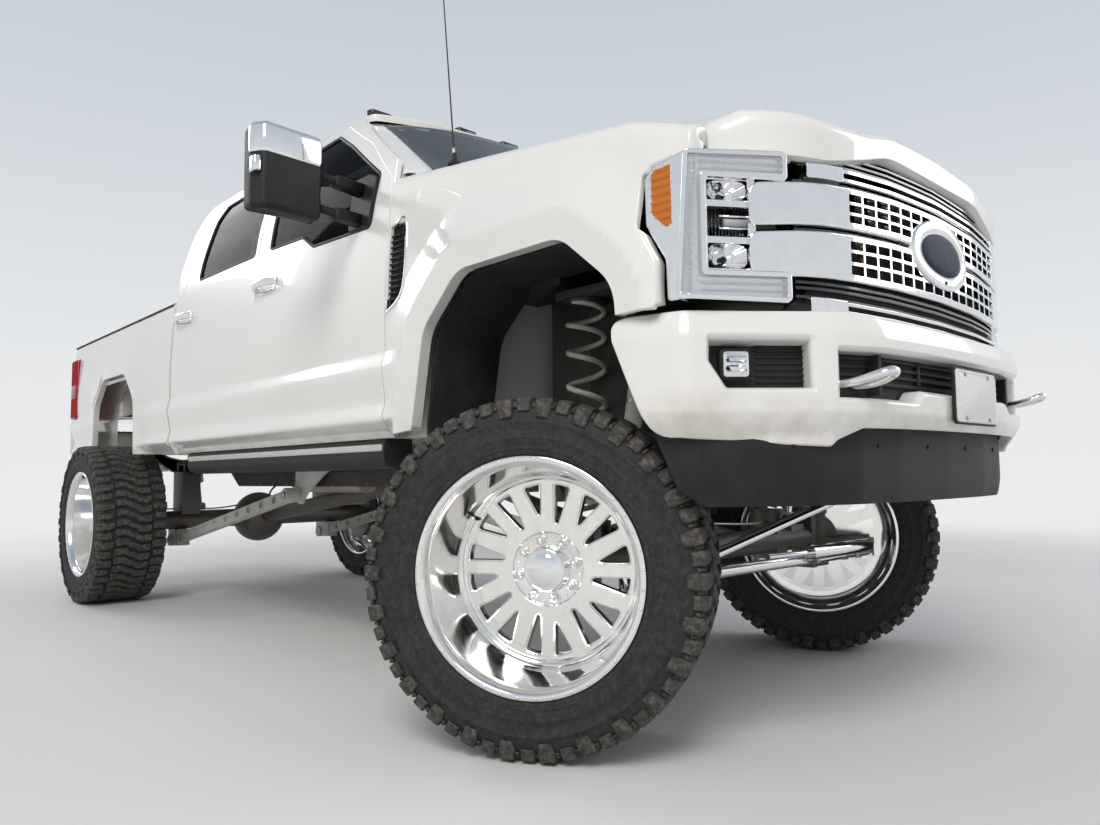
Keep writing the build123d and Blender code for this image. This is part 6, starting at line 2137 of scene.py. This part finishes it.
def damper(shape, start, end, radius, material, reservoir=None):
    # chrome rod, body with its seal head, rubber bushes at both ends
    start, end = Vector(start), Vector(end)
    along = (end - start).normalized()
    length = (end - start).length
    at = lambda t: tuple(start + along * length * t)
    tube(shape, [at(0.05), at(0.5)], radius * 0.36, "chrome", 18)
    swept(shape, [at(0.42), at(0.43), at(0.45), at(0.92), at(0.95)], circle(radius, 28), material,
          (1, 0, 0), scales=(0.8, 1.0, 1.0, 1.0, 0.7))
    swept(shape, [at(0.44), at(0.47)], circle(radius * 1.12, 28), "chrome", (1, 0, 0))
    for t in (0.02, 0.975):
        turned(shape, [(-26, 8), (-26, 22), (-22, 26), (22, 26), (26, 22), (26, 8)], 28, material,
               at(t), "x")
        turned(shape, [(-30, 2), (-30, 13), (30, 13), (30, 2)], 20, "seal", at(t), "x")
    if reservoir:
        side = Vector(reservoir)
        swept(shape, [tuple(start + along * length * t + side) for t in (0.5, 0.52, 0.86, 0.88)],
              circle(radius * 0.85, 28), material, (1, 0, 0),
              scales=(0.85, 1, 1, 0.85))
        for t in (0.58, 0.8):
            swept(shape, [at(t - 0.008), at(t + 0.008)], circle(radius * 1.08, 24), "steel",
                  (1, 0, 0))
            tube(shape, [at(t), tuple(Vector(at(t)) + side)], 6, "steel", 10)


def damperShapes():
    shape = Shape("dampers")
    damper(shape, (530, -12, axleZ + 74), (530, -162, 1352), 31, "silverCoat", (-10, -68, 0))
    damper(shape, (400, 4132, axleZ + 78), (400, 4244, 1006), 31, "silverCoat", (0, 70, 0))
    return shape.pair()


leafForm = {"x": (492.0, 558.0), "thick": 8.6, "halves": ((-700, 752), (-640, 700), (-540, 590),
        (-430, 470), (-300, 330)),
            "rows": [(-700, 118), (-380, 40), (0, 0), (400, 40), (760, 118)]}


def leafShape():
    shape = Shape("leaves")
    x0, x1 = leafForm["x"]
    base = axleZ + 330.5
    for k, (back, front) in enumerate(leafForm["halves"]):
        ys = np.linspace(back, front, 34)
        zs = softInterp(ys, leafForm["rows"], 90) + base + 41.5 - k * 9.1
        section = rounded(rectangle(-leafForm["thick"] / 2, leafForm["thick"] / 2, -(x1 - x0) / 2,
                                    (x1 - x0) / 2), 2.5, 2)
        swept(shape, [((x0 + x1) / 2, 4059 + y, z) for y, z in zip(ys, zs)], section,
              "chassisPaint", (0, 0, 1))
    for y in (-62, 62):
        for x in (486, 564):
            tube(shape, [(x, 4059 + y, base - 120), (x, 4059 + y, base + 52)], 8, "castIron", 10)
            bolt(shape, (x, 4059 + y, base - 112), (0, 0, -1), 12, "castIron", 16)
        tube(shape, softened([(486, 4059 + y, base + 50), (490, 4059 + y, base + 60),
                              (560, 4059 + y, base + 60), (564, 4059 + y, base + 50)], 4), 8,
             "castIron", 10)
    block(shape, 488, 562, 3979, 4139, base + 46, base + 54, "castIron", 8, 3)
    for y0, y1, z0, z1 in ((-744, -676, -28, 160), (726, 794, 100, 252)):
        block(shape, 470.4, 486, 4059 + y0, 4059 + y1, base + z0, base + z1, "chassisPaint", 14, 3,
              "x")
        block(shape, 562, 574, 4059 + y0 + 8, 4059 + y1 - 8, base + z0 + 20, base + z0 + 150,
              "chassisPaint", 20, 3, "x")
        turned(shape, [(470, 4), (470, 17), (580, 17), (580, 4)], 20, "castIron",
               (0, 4059 + (y0 + y1) / 2, base + z0 + 128), "x")
        for z in (z0 + 24, z1 - 18):
            bolt(shape, (486, 4059 + (y0 + y1) / 2, base + z), (1, 0, 0), 9, "castIron")
    return shape.pair()


def frameParts():
    shape = Shape("frameParts")
    for k in (-1, 1):
        for y, z in [(y, 790 if 900 < y < 3100 else 1000) for y in list(range(-620, 600, 150))
                     + list(range(1000, 3200, 180))]:
            z = z if y > 900 else float(np.interp(y, [-300, 700], [z - 5, 820]))
            for dz in (-45, 45):
                bolt(shape, (k * 470, y, z + dz), (k, 0, 0), 8, "castIron")
        for y in (880, 1850, 2900):
            swept(shape, [(k * 430, y, 912), (k * 430, y, 921), (k * 430, y, 926)], circle(46, 24),
                  "seal", (1, 0, 0), scales=(1, 1, 0.8))
        tube(shape, softened([(k * 476, -560, 1040), (k * 478, 300, 930), (k * 478, 800, 850),
                              (k * 478, 3200, 850), (k * 478, 3700, 1080)], 8), 5, "steel", 8)
        tube(shape, softened([(k * 484, 500, 890), (k * 484, 800, 826), (k * 484, 3200, 826),
                              (k * 484, 3680, 1050)], 8), 8, "seal", 8)
    return shape


def axleParts(y, x, radius, front):
    # ribbed cover with its bolts, breather hose and brackets
    shape = Shape("axleParts")
    side = -1 if front else 1
    cover = [(0, radius * 0.86), (side * 18, radius * 0.84), (side * 44, radius * 0.62),
             (side * 56, radius * 0.3), (side * 58, 1)]
    turned(shape, cover if side > 0 else cover[::-1], 40, "castIron",
           (x, y + side * radius * 0.42, axleZ), "y", caps=(False, False))
    for i in range(12):
        a = 2 * math.pi * i / 12
        bolt(shape, (x + radius * 0.78 * math.cos(a), y + side * radius * 0.56,
                     axleZ + radius * 0.78 * math.sin(a)), (0, side, 0), 8, "steel")
    for i in range(9):
        dx = (i - 4) * radius * 0.15
        tall = radius * 0.55 * math.sqrt(max(0.05, 1 - (i - 4) ** 2 / 20))
        block(shape, x + dx - 3, x + dx + 3, *sorted((y + side * radius * 0.5,
                                                      y + side * (radius * 0.42 + 62))),
              axleZ - tall, axleZ + tall, "castIron", 2, 1)
    tube(shape, softened([(x + 90, y, axleZ + 60), (x + 90, y - 10, axleZ + 190),
                          (300, y + 60, axleZ + 320), (380, y + 70, axleZ + 430)], 8), 7, "seal", 8)
    for k in (-1, 1):
        tube(shape, softened([(k * 690, y + 30, axleZ + 70), (k * 600, y + 50, axleZ + 75),
                              (k * 300, y + 40, axleZ + 70), (x + k * 60, y + 30, axleZ + 100)], 6),
             5, "steel", 8)
    return shape


def linkParts():
    shape = Shape("linkParts")
    nodes = frame["nodes"]["steering_links"].data.vertices
    left = max(nodes, key=lambda v: v.co.x).co.x * 1000
    ends = [v.co.y * 1000 - frontAxleY for v in nodes if abs(v.co.x * 1000 - left) < 40]
    y = (min(ends) + max(ends)) / 2
    tube(shape, [(left - 150, y - 58, 470), (left - 620, y - 58, 474)], 29, "chrome", 28)
    tube(shape, [(left - 600, y - 58, 474), (left - 900, y - 52, 478)], 11, "chrome", 16)
    for x in (left - 130, left - 250, left - 1180, left - 1300):
        turned(shape, [(-22, 23), (-18, 27), (18, 27), (22, 23)], 6, "steel", (x, y, 440), "x")
    for x in (left - 240, left - 560):
        block(shape, x - 10, x + 10, y - 66, y + 6, 430, 470, "steel", 8, 3)
    return shape


def armParts():
    shape = Shape("armParts")
    for x in (418,):
        turned(shape, [(x - 60, 6), (x - 60, 44), (x - 54, 48), (x + 50, 48), (x + 56, 44),
                       (x + 56, 6)], 28, "castIron", (0, 1245, 690), "x")
        bolt(shape, (x + 57, 1245, 690), (1, 0, 0), 17, "steel")
    return shape.pair()


def tractionParts():
    shape = Shape("tractionParts")
    for y, z in ((2345, 690), (4135, 362)):
        turned(shape, [(506, 8), (506, 36), (512, 40), (608, 40), (614, 36), (614, 8)], 28,
               "silverCoat", (0, y, z), "x")
        bolt(shape, (614, y, z), (1, 0, 0), 19, "steel")
    for i in range(9):
        y = 2520 + 170 * i
        turned(shape, [(588, 20), (592, 26), (594, 25), (594, 20)], 24, "silverCoat",
               (0, y, 691 - (y - 2360) * 0.1858), "x", caps=(False, False))
    for y, z in ((2000, 842), (2120, 840), (2240, 838)):
        bolt(shape, (530.5, y, z - 16), (1, 0, 0), 11, "steel")
    return shape.pair()


def tailPipe():
    # bright tip with a dark bore
    shape = Shape("tailPipe")
    end = Vector((-840, 5010, 838))
    along = (end - Vector((-300, 4540, 900))).normalized()
    tip = end + along * 14
    swept(shape, [tuple(end - along * 150), tuple(end - along * 140), tuple(tip - along * 3),
                  tuple(tip)], circle(46, 32), "chrome", (0, 0, 1),
          scales=(0.84, 1, 1, 0.97))
    swept(shape, [tuple(tip - along * 20), tuple(tip + along * 0.6)], circle(41, 32), "deepBlack",
          (0, 0, 1))
    return shape


def placeChassis():
    springShape().piece("springFinish", "chassis", ["coil_springs"])
    damperShapes().piece("damperFinish", "chassis", ["shock_absorbers"])
    leafShape().piece("leafFinish", "chassis", ["leaf_springs"])
    # node, body, finish, edge width, added parts
    rows = [("frame", "chassis", "chassisPaint", 5, frameParts()),
            ("front_axle", "chassis", "castIron", 6, axleParts(10, -258, 132, True)),
            ("rear_axle", "chassis", "castIron", 6, axleParts(4074, 0, 178, False)),
            ("knuckle_left", "knuckle_body_left", "castIron", 7, None),
            ("knuckle_right", "knuckle_body_right", "castIron", 7, None),
            ("pitman_arm", "pitman", "castIron", 5, None),
            ("steering_box", "chassis", "castIron", 12, None),
            ("steering_links", "steering_linkage", "chrome", 3, linkParts()),
            ("radius_arms", "chassis", "silverCoat", 5, armParts()),
            ("traction_bars", "chassis", "silverCoat", 3, tractionParts()),
            ("driveline", "chassis", "castIron", 9, None), ("exhaust", "chassis", "exhaustSteel", 2,
            tailPipe()),
            ("fuel_tank", "chassis", "blackPlastic", 22, None),
            ("arch_liners", "chassis", "softBlack", 4, None)]
    for node, body, material, width, extra in rows:
        roundedCopy(node, body, material, width, 3, extra=extra)


placeRear()
placeChassis()
print("rear and chassis ready")

# Cab interior, engine bay, running boards and mast

def cushion(shape, centre, along, across, normal, size, material, grooves=(), crossGrooves=(),
            swell=1.0, count=(22, 22)):
    # crowned closed form: along, across and normal are its axes, size its half sizes; grooves are
    # sewn channels
    n, m = count
    a, b, c = Vector(along).normalized(), Vector(across).normalized(), Vector(normal).normalized()
    us = [math.sin(math.pi / 2 * (2 * i / n - 1)) for i in range(n + 1)]
    vs = [math.sin(math.pi / 2 * (2 * j / m - 1)) for j in range(m + 1)]

    def place(u, v, face):
        pinch = 1 - 0.035 * (1 - abs(v) ** 2) * abs(u) ** 3
        pinchV = 1 - 0.035 * (1 - abs(u) ** 2) * abs(v) ** 3
        edge = max(0.0, (1 - abs(u) ** 3.4) * (1 - abs(v) ** 3.4)) ** 0.42
        h = edge * (0.86 + 0.14 * swell * (1 - u * u) * (1 - v * v))
        if face > 0:
            for g in grooves:
                h -= 0.16 * math.exp(-((u - g) / 0.035) ** 2) * edge
            for g in crossGrooves:
                h -= 0.16 * math.exp(-((v - g) / 0.035) ** 2) * edge
        # round the corners of the plan
        k = 1 - 0.09 * abs(u * v) ** 6
        return tuple(Vector(centre) + a * size[0] * u * pinchV * k + b * size[1] * v * pinch * k + c
                     * size[2] * h * (1 if face > 0 else -0.8))
    points = [place(u, v, 1) for u in us for v in vs] + [place(u, v, -1) for u in us for v in vs]
    top = gridFaces(n + 1, m + 1)
    base = (n + 1) * (m + 1)
    shape.add(points, top + [tuple(base + i for i in reversed(f)) for f in top], material)
    rim = [place(u, -1, 1) for u in us] + [place(1, v, 1) for v in vs[1:]] + [place(u, 1,
            1) for u in us[::-1][1:]] + \
        [place(-1, v, 1) for v in vs[::-1][1:-1]]
    closedSweep(shape, rim, circle(3.2, 6), material, tuple(c))


seatForm = {"places": ((400, 1480, 520, 1), (-400, 1480, 520, 1), (0, 2340, 1500, 3)), "lean": 11.0}


def seatShape():
    shape = Shape("seats")
    for x, y, width, parts in seatForm["places"]:
        each = width / parts
        lean = math.radians(seatForm["lean"])
        up, out = (0, math.sin(lean), math.cos(lean)), (0, -math.cos(lean), math.sin(lean))
        for i in range(parts):
            cx = x - width / 2 + each * (i + 0.5)
            mid = each * 0.31
            # base tray and slides
            block(shape, cx - each / 2 + 44, cx + each / 2 - 44, y - 196, y + 216, 1030, 1236,
                  "cabinTrim", 30, 10)
            for s in (-1, 1):
                block(shape, cx + s * each * 0.32 - 22, cx + s * each * 0.32 + 22, y - 215, y + 225,
                      991, 1034, "chassisPaint", 6, 4)
            # cushion with side bolsters
            cushion(shape, (cx, y - 10, 1316), (1, 0, 0), (0, 1, 0.06), (0, -0.06, 1),
                    (mid, 246, 72), "leather", (-0.5, 0, 0.5), (0.55,))
            for s in (-1, 1):
                cushion(shape, (cx + s * each * 0.405, y - 6, 1318), (1, 0, 0), (0, 1, 0.06),
                        (-s * 0.35, -0.06, 1), (each * 0.1, 248, 82), "leather", (), (), 0.6,
                        (10, 20))
            # back with bolsters
            middle = Vector((cx, y + 304, 1700))
            cushion(shape, middle, (1, 0, 0), up, out, (mid, 318, 58), "leather", (-0.5, 0, 0.5),
                    (-0.45, 0.6))
            for s in (-1, 1):
                cushion(shape, middle + Vector((s * each * 0.40, -8, -10)), (1, 0, 0), up,
                        (-s * 0.4, out[1], out[2]), (each * 0.1, 300, 66), "leather", (), (), 0.6,
                        (10, 20))
            cushion(shape, middle + Vector((0, 44, 0)), (1, 0, 0), up, (0, 1, -0.2),
                    (each * 0.47, 322, 26), "cabinTrim", (), (), 0.4, (14, 14))
            # head rest on two posts
            for s in (-1, 1):
                tube(shape, [(cx + s * 52, y + 372, 1990), (cx + s * 52, y + 396, 2090)], 6,
                     "chrome", 12)
            cushion(shape, (cx, y + 398, 2108), (1, 0, 0), up, out, (126, 80, 46), "leather",
                    (-0.55, 0.55), ())
    # centre console with an armrest lid, levers and cup rings
    block(shape, -128, 128, 1252, 1798, 991, 1360, "cabinTrim", 26, 10)
    cushion(shape, (0, 1640, 1378), (1, 0, 0), (0, 1, 0), (0, 0, 1), (112, 150, 36), "leather", (),
            ())
    for x in (-52, 52):
        turned(shape, [(0, 44), (6, 44), (8, 41), (8, 36), (-24, 34), (-26, 1)], 28, "chrome",
               (x, 1360, 1360), "z", caps=(False, False))
    tube(shape, softened([(0, 1276, 1360), (0, 1268, 1420), (0, 1272, 1450)], 5), 9, "chrome", 14)
    cushion(shape, (0, 1272, 1466), (1, 0, 0), (0, 1, 0), (0, 0, 1), (24, 24, 26), "leather")
    return shape


def dashParts():
    shape = Shape("dashParts")
    rear = 1080
    # instrument hood with two bright-ringed dials, screen, vents, knobs and glovebox
    block(shape, 250, 550, rear - 120, rear + 6, 1740, 1822, "cabinTrim", 30, 12, "y")
    block(shape, 268, 532, rear - 20, rear + 8, 1756, 1806, "glossBlack", 18, 2, "y")
    for x in (330, 470):
        turned(shape, [(rear + 7, 20), (rear + 11, 22), (rear + 11, 19), (rear + 8.5, 18),
                       (rear + 8.5, 1)], 28, "chrome", (x, 0, 1781), "y", caps=(False, False))
    block(shape, -130, 130, rear - 30, rear + 7, 1650, 1776, "glossBlack", 12, 3, "y")
    closedSweep(shape, [(x, rear + 6, z) for z, x in rounded(rectangle(1648, 1778, -132, 132), 14,
            4)], circle(3, 8), "chrome", (0, 1, 0))
    for x in (-660, -190, 190, 660):
        block(shape, x - 52, x + 52, rear - 30, rear + 5, 1690, 1762, "blackPlastic", 12, 3, "y")
        for k in range(6):
            block(shape, x - 46, x + 46, rear + 2, rear + 8, 1698 + 10.5 * k, 1702 + 10.5 * k,
                  "seal", 1, 0.5, "y")
        closedSweep(shape, [(x + u, rear + 5, z) for z, u in rounded(rectangle(1688, 1764, -54, 54),
                14, 4)], circle(2.4, 8), "chrome", (0, 1, 0))
    for x in (-60, 60):
        turned(shape, [(rear + 20, 1), (rear + 20, 19), (rear + 18, 21), (rear, 22)], 28, "chrome",
               (x, 0, 1622), "y", caps=(False, False))
    for k in range(5):
        block(shape, -36 + 16 * k, -26 + 16 * k, rear, rear + 7, 1614, 1630, "blackPlastic", 2, 1,
              "y")
    block(shape, -620, -230, rear - 8, rear + 3, 1590, 1672, "cabinTrim", 14, 3, "y")
    return shape


def steeringWheelShape():
    shape, wheel = Shape("steeringWheel"), Shape("wheel")
    closedSweep(wheel, [(185 * math.cos(a), 185 * math.sin(a), 0) for a in np.linspace(0,
            2 * math.pi, 49)[:-1]], circle(16, 14), "leather", (0, 0, 1))
    for a in (0, 180, 270):
        c, s = math.cos(math.radians(a)), math.sin(math.radians(a))
        swept(wheel, [(c * r, s * r, h) for r, h in ((60, 8), (100, 5), (150, 1), (178, 0))],
              rounded(rectangle(-7, 7, -22, 22), 5, 3),
              "blackPlastic", (0, 0, 1), scales=(1.3, 1.0, 0.8, 0.8))
    prism(wheel, rounded([(-78, -52), (78, -52), (66, 50), (-66, 50)], 30, 6), -22, 26, "cabinTrim",
          "z", 12, 4)
    turned(wheel, [(26, 20), (28, 19), (28, 1)], 28, "chrome", (0, 0, 0), "z", caps=(False, False))
    for x in (-104, 104):
        block(wheel, x - 16, x + 16, -12, 12, 6, 13, "glossBlack", 5, 2)
    shape.merge(wheel, Matrix.Translation((400, 1210, 1704)) @ Matrix.Rotation(math.radians(68), 4,
            "X"))
    swept(shape, [(400, 1080.5, 1657), (400, 1120, 1672), (400, 1195, 1700)], circle(36, 24),
          "cabinTrim", (1, 0, 0), scales=(1.2, 1.1, 0.9))
    for k in (-1, 1):
        swept(shape, [(400, 1150, 1684), (400 + k * 90, 1160, 1700), (400 + k * 150, 1160, 1712)],
              circle(7, 10), "blackPlastic", (0, 0, 1))
    return shape


def boardShape():
    # left running board: shaped bar, ribbed tread, pale band and its brackets
    shape = Shape("board")
    section = rounded([(802, 818), (860, 811), (918, 826), (929, 850), (929, 914), (916, 929),
                       (802, 929)], [6, 14, 16, 12, 10, 8, 4], 4)
    swept(shape, [(0, y, 0) for y in (822, 830, 850, 2866, 2888, 2897)], section, "softBlack",
          (0, 0, 1), scales=None)
    block(shape, 925, 931, 836, 2882, 882, 908, "silverCoat", 8, 2, "x")
    for k in range(58):
        y = 860 + 34.5 * k
        block(shape, 812, 908, y, y + 16, 926, 931, "seal", 4, 1)
    for y in (1000, 1500, 2000, 2500, 2800):
        block(shape, 700, 806, y - 22, y + 22, 846, 866, "chassisPaint", 5, 3)
        bolt(shape, (780, y, 846), (0, 0, -1), 9, "steel")
    return shape.pair()


def engineParts():
    shape = Shape("engineParts")
    block(shape, -205, 205, -420, 470, 1596, 1652, "blackPlastic", 50, 22)
    for k in range(7):
        block(shape, -165, 165, -300 + 90 * k, -264 + 90 * k, 1646, 1658, "softBlack", 12, 4)
    for k in (-1, 1):
        block(shape, k * 248 - 46, k * 248 + 46, -400, 440, 1560, 1628, "castIron", 20, 10)
        for i in range(6):
            bolt(shape, (k * 248, -360 + 150 * i, 1628), (0, 0, 1), 8, "steel")
        block(shape, k * 560 - 110, k * 560 + 110, 180 if k > 0 else 120, 470, 1440, 1640,
              "blackPlastic", 16, 10)
        for s in (-1, 1):
            bolt(shape, (k * 560 + s * 70, 330, 1640), (0, 0, 1), 11, "steel")
        tube(shape, softened([(k * 120, -500, 1560), (k * 150, -560, 1600), (k * 260, -600, 1590),
                              (k * 280, -625, 1560)], 7), 26, "seal", 18)
        tube(shape, softened([(k * 250, -300, 1640), (k * 420, -320, 1660), (k * 520, -160, 1620),
                              (k * 560, 120, 1560)], 8), 34, "seal" if k > 0 else "alloy", 20)
    block(shape, -640, -430, -480, -180, 1380, 1600, "blackPlastic", 30, 14)
    turned(shape, [(0, 24), (16, 24), (20, 20), (20, 1)], 24, "amber", (-560, -240, 1600), "z",
           caps=(False, False))
    for k in range(6):
        a = math.radians(60 * k)
        swept(shape, [(math.cos(a) * r, -566 + 10 * math.cos(a),
                       1310 + math.sin(a) * r) for r in (40, 120, 230)],
              rounded(rectangle(-4, 4, -34, 34), 3, 2), "blackPlastic", (0, 1, 0.5),
              scales=(0.7, 1, 1.2))
    turned(shape, [(-600, 1), (-600, 52), (-546, 52), (-540, 46), (-540, 1)], 28, "castIron",
           (0, 0, 1310), "y", caps=(False, False))
    return shape


def radiatorParts():
    shape = Shape("radiatorParts")
    for k in range(34):
        block(shape, -350, 350, -694, -688, 1032 + 16.4 * k, 1037 + 16.4 * k, "steel", 1, 0.5)
    for x in (-372, 372):
        block(shape, x - 24, x + 24, -698, -602, 1021, 1612, "blackPlastic", 12, 5)
    block(shape, -400, 400, -704, -596, 1592, 1622, "blackPlastic", 14, 6)
    return shape


def mastShape():
    shape = Shape("mast")
    base = float(ridge(430.0)) + 2
    turned(shape, [(base - 3, 26), (base + 1, 26), (base + 7, 22), (base + 16, 12), (base + 40, 8),
                   (base + 44, 5)], 28, "blackPlastic", (-884, 430, 0), "z")
    turned(shape, [(base + 38, 5.5), (base + 62, 5.5), (base + 64, 3.4)], 16, "steel",
           (-884, 433.5, 0), "z")
    path = [(-884, 430 + 80 * t, base + 30 + (2700 - base - 30) * t) for t in np.linspace(0, 1, 12)]
    swept(shape, path, circle(3.1, 10), "blackPlastic", (1, 0, 0),
          scales=[1.0 - 0.35 * t for t in np.linspace(0, 1, 12)])
    return shape


def placeCabin():
    shell = roundedCopy("cab_shell", "chassis", "paint", 4)
    middle = Vector((0, 1850, 1700))

    def inward(place, normal):
        x, y, z = place
        return abs(x) < 940 and 625 < y < 3060 and 935 < z < 2390 and normal.dot(middle
                - Vector(place)) > 0
    recolour(shell, "cabinTrim", inward)
    seatShape().piece("seatFinish", "chassis", ["seats"])
    roundedCopy("dashboard", "chassis", "cabinTrim", 18, 4, extra=dashParts())
    steeringWheelShape().piece("steeringWheelFinish", "chassis", ["steering_wheel"])
    boardShape().piece("boardFinish", "chassis", ["running_boards"])
    roundedCopy("engine_block", "chassis", "castIron", 14, 3, extra=engineParts())
    roundedCopy("radiator", "chassis", "alloy", 3, extra=radiatorParts())
    mastShape().piece("mastFinish", "chassis", ["antenna"])


placeCabin()
print("cab interior and engine bay ready")
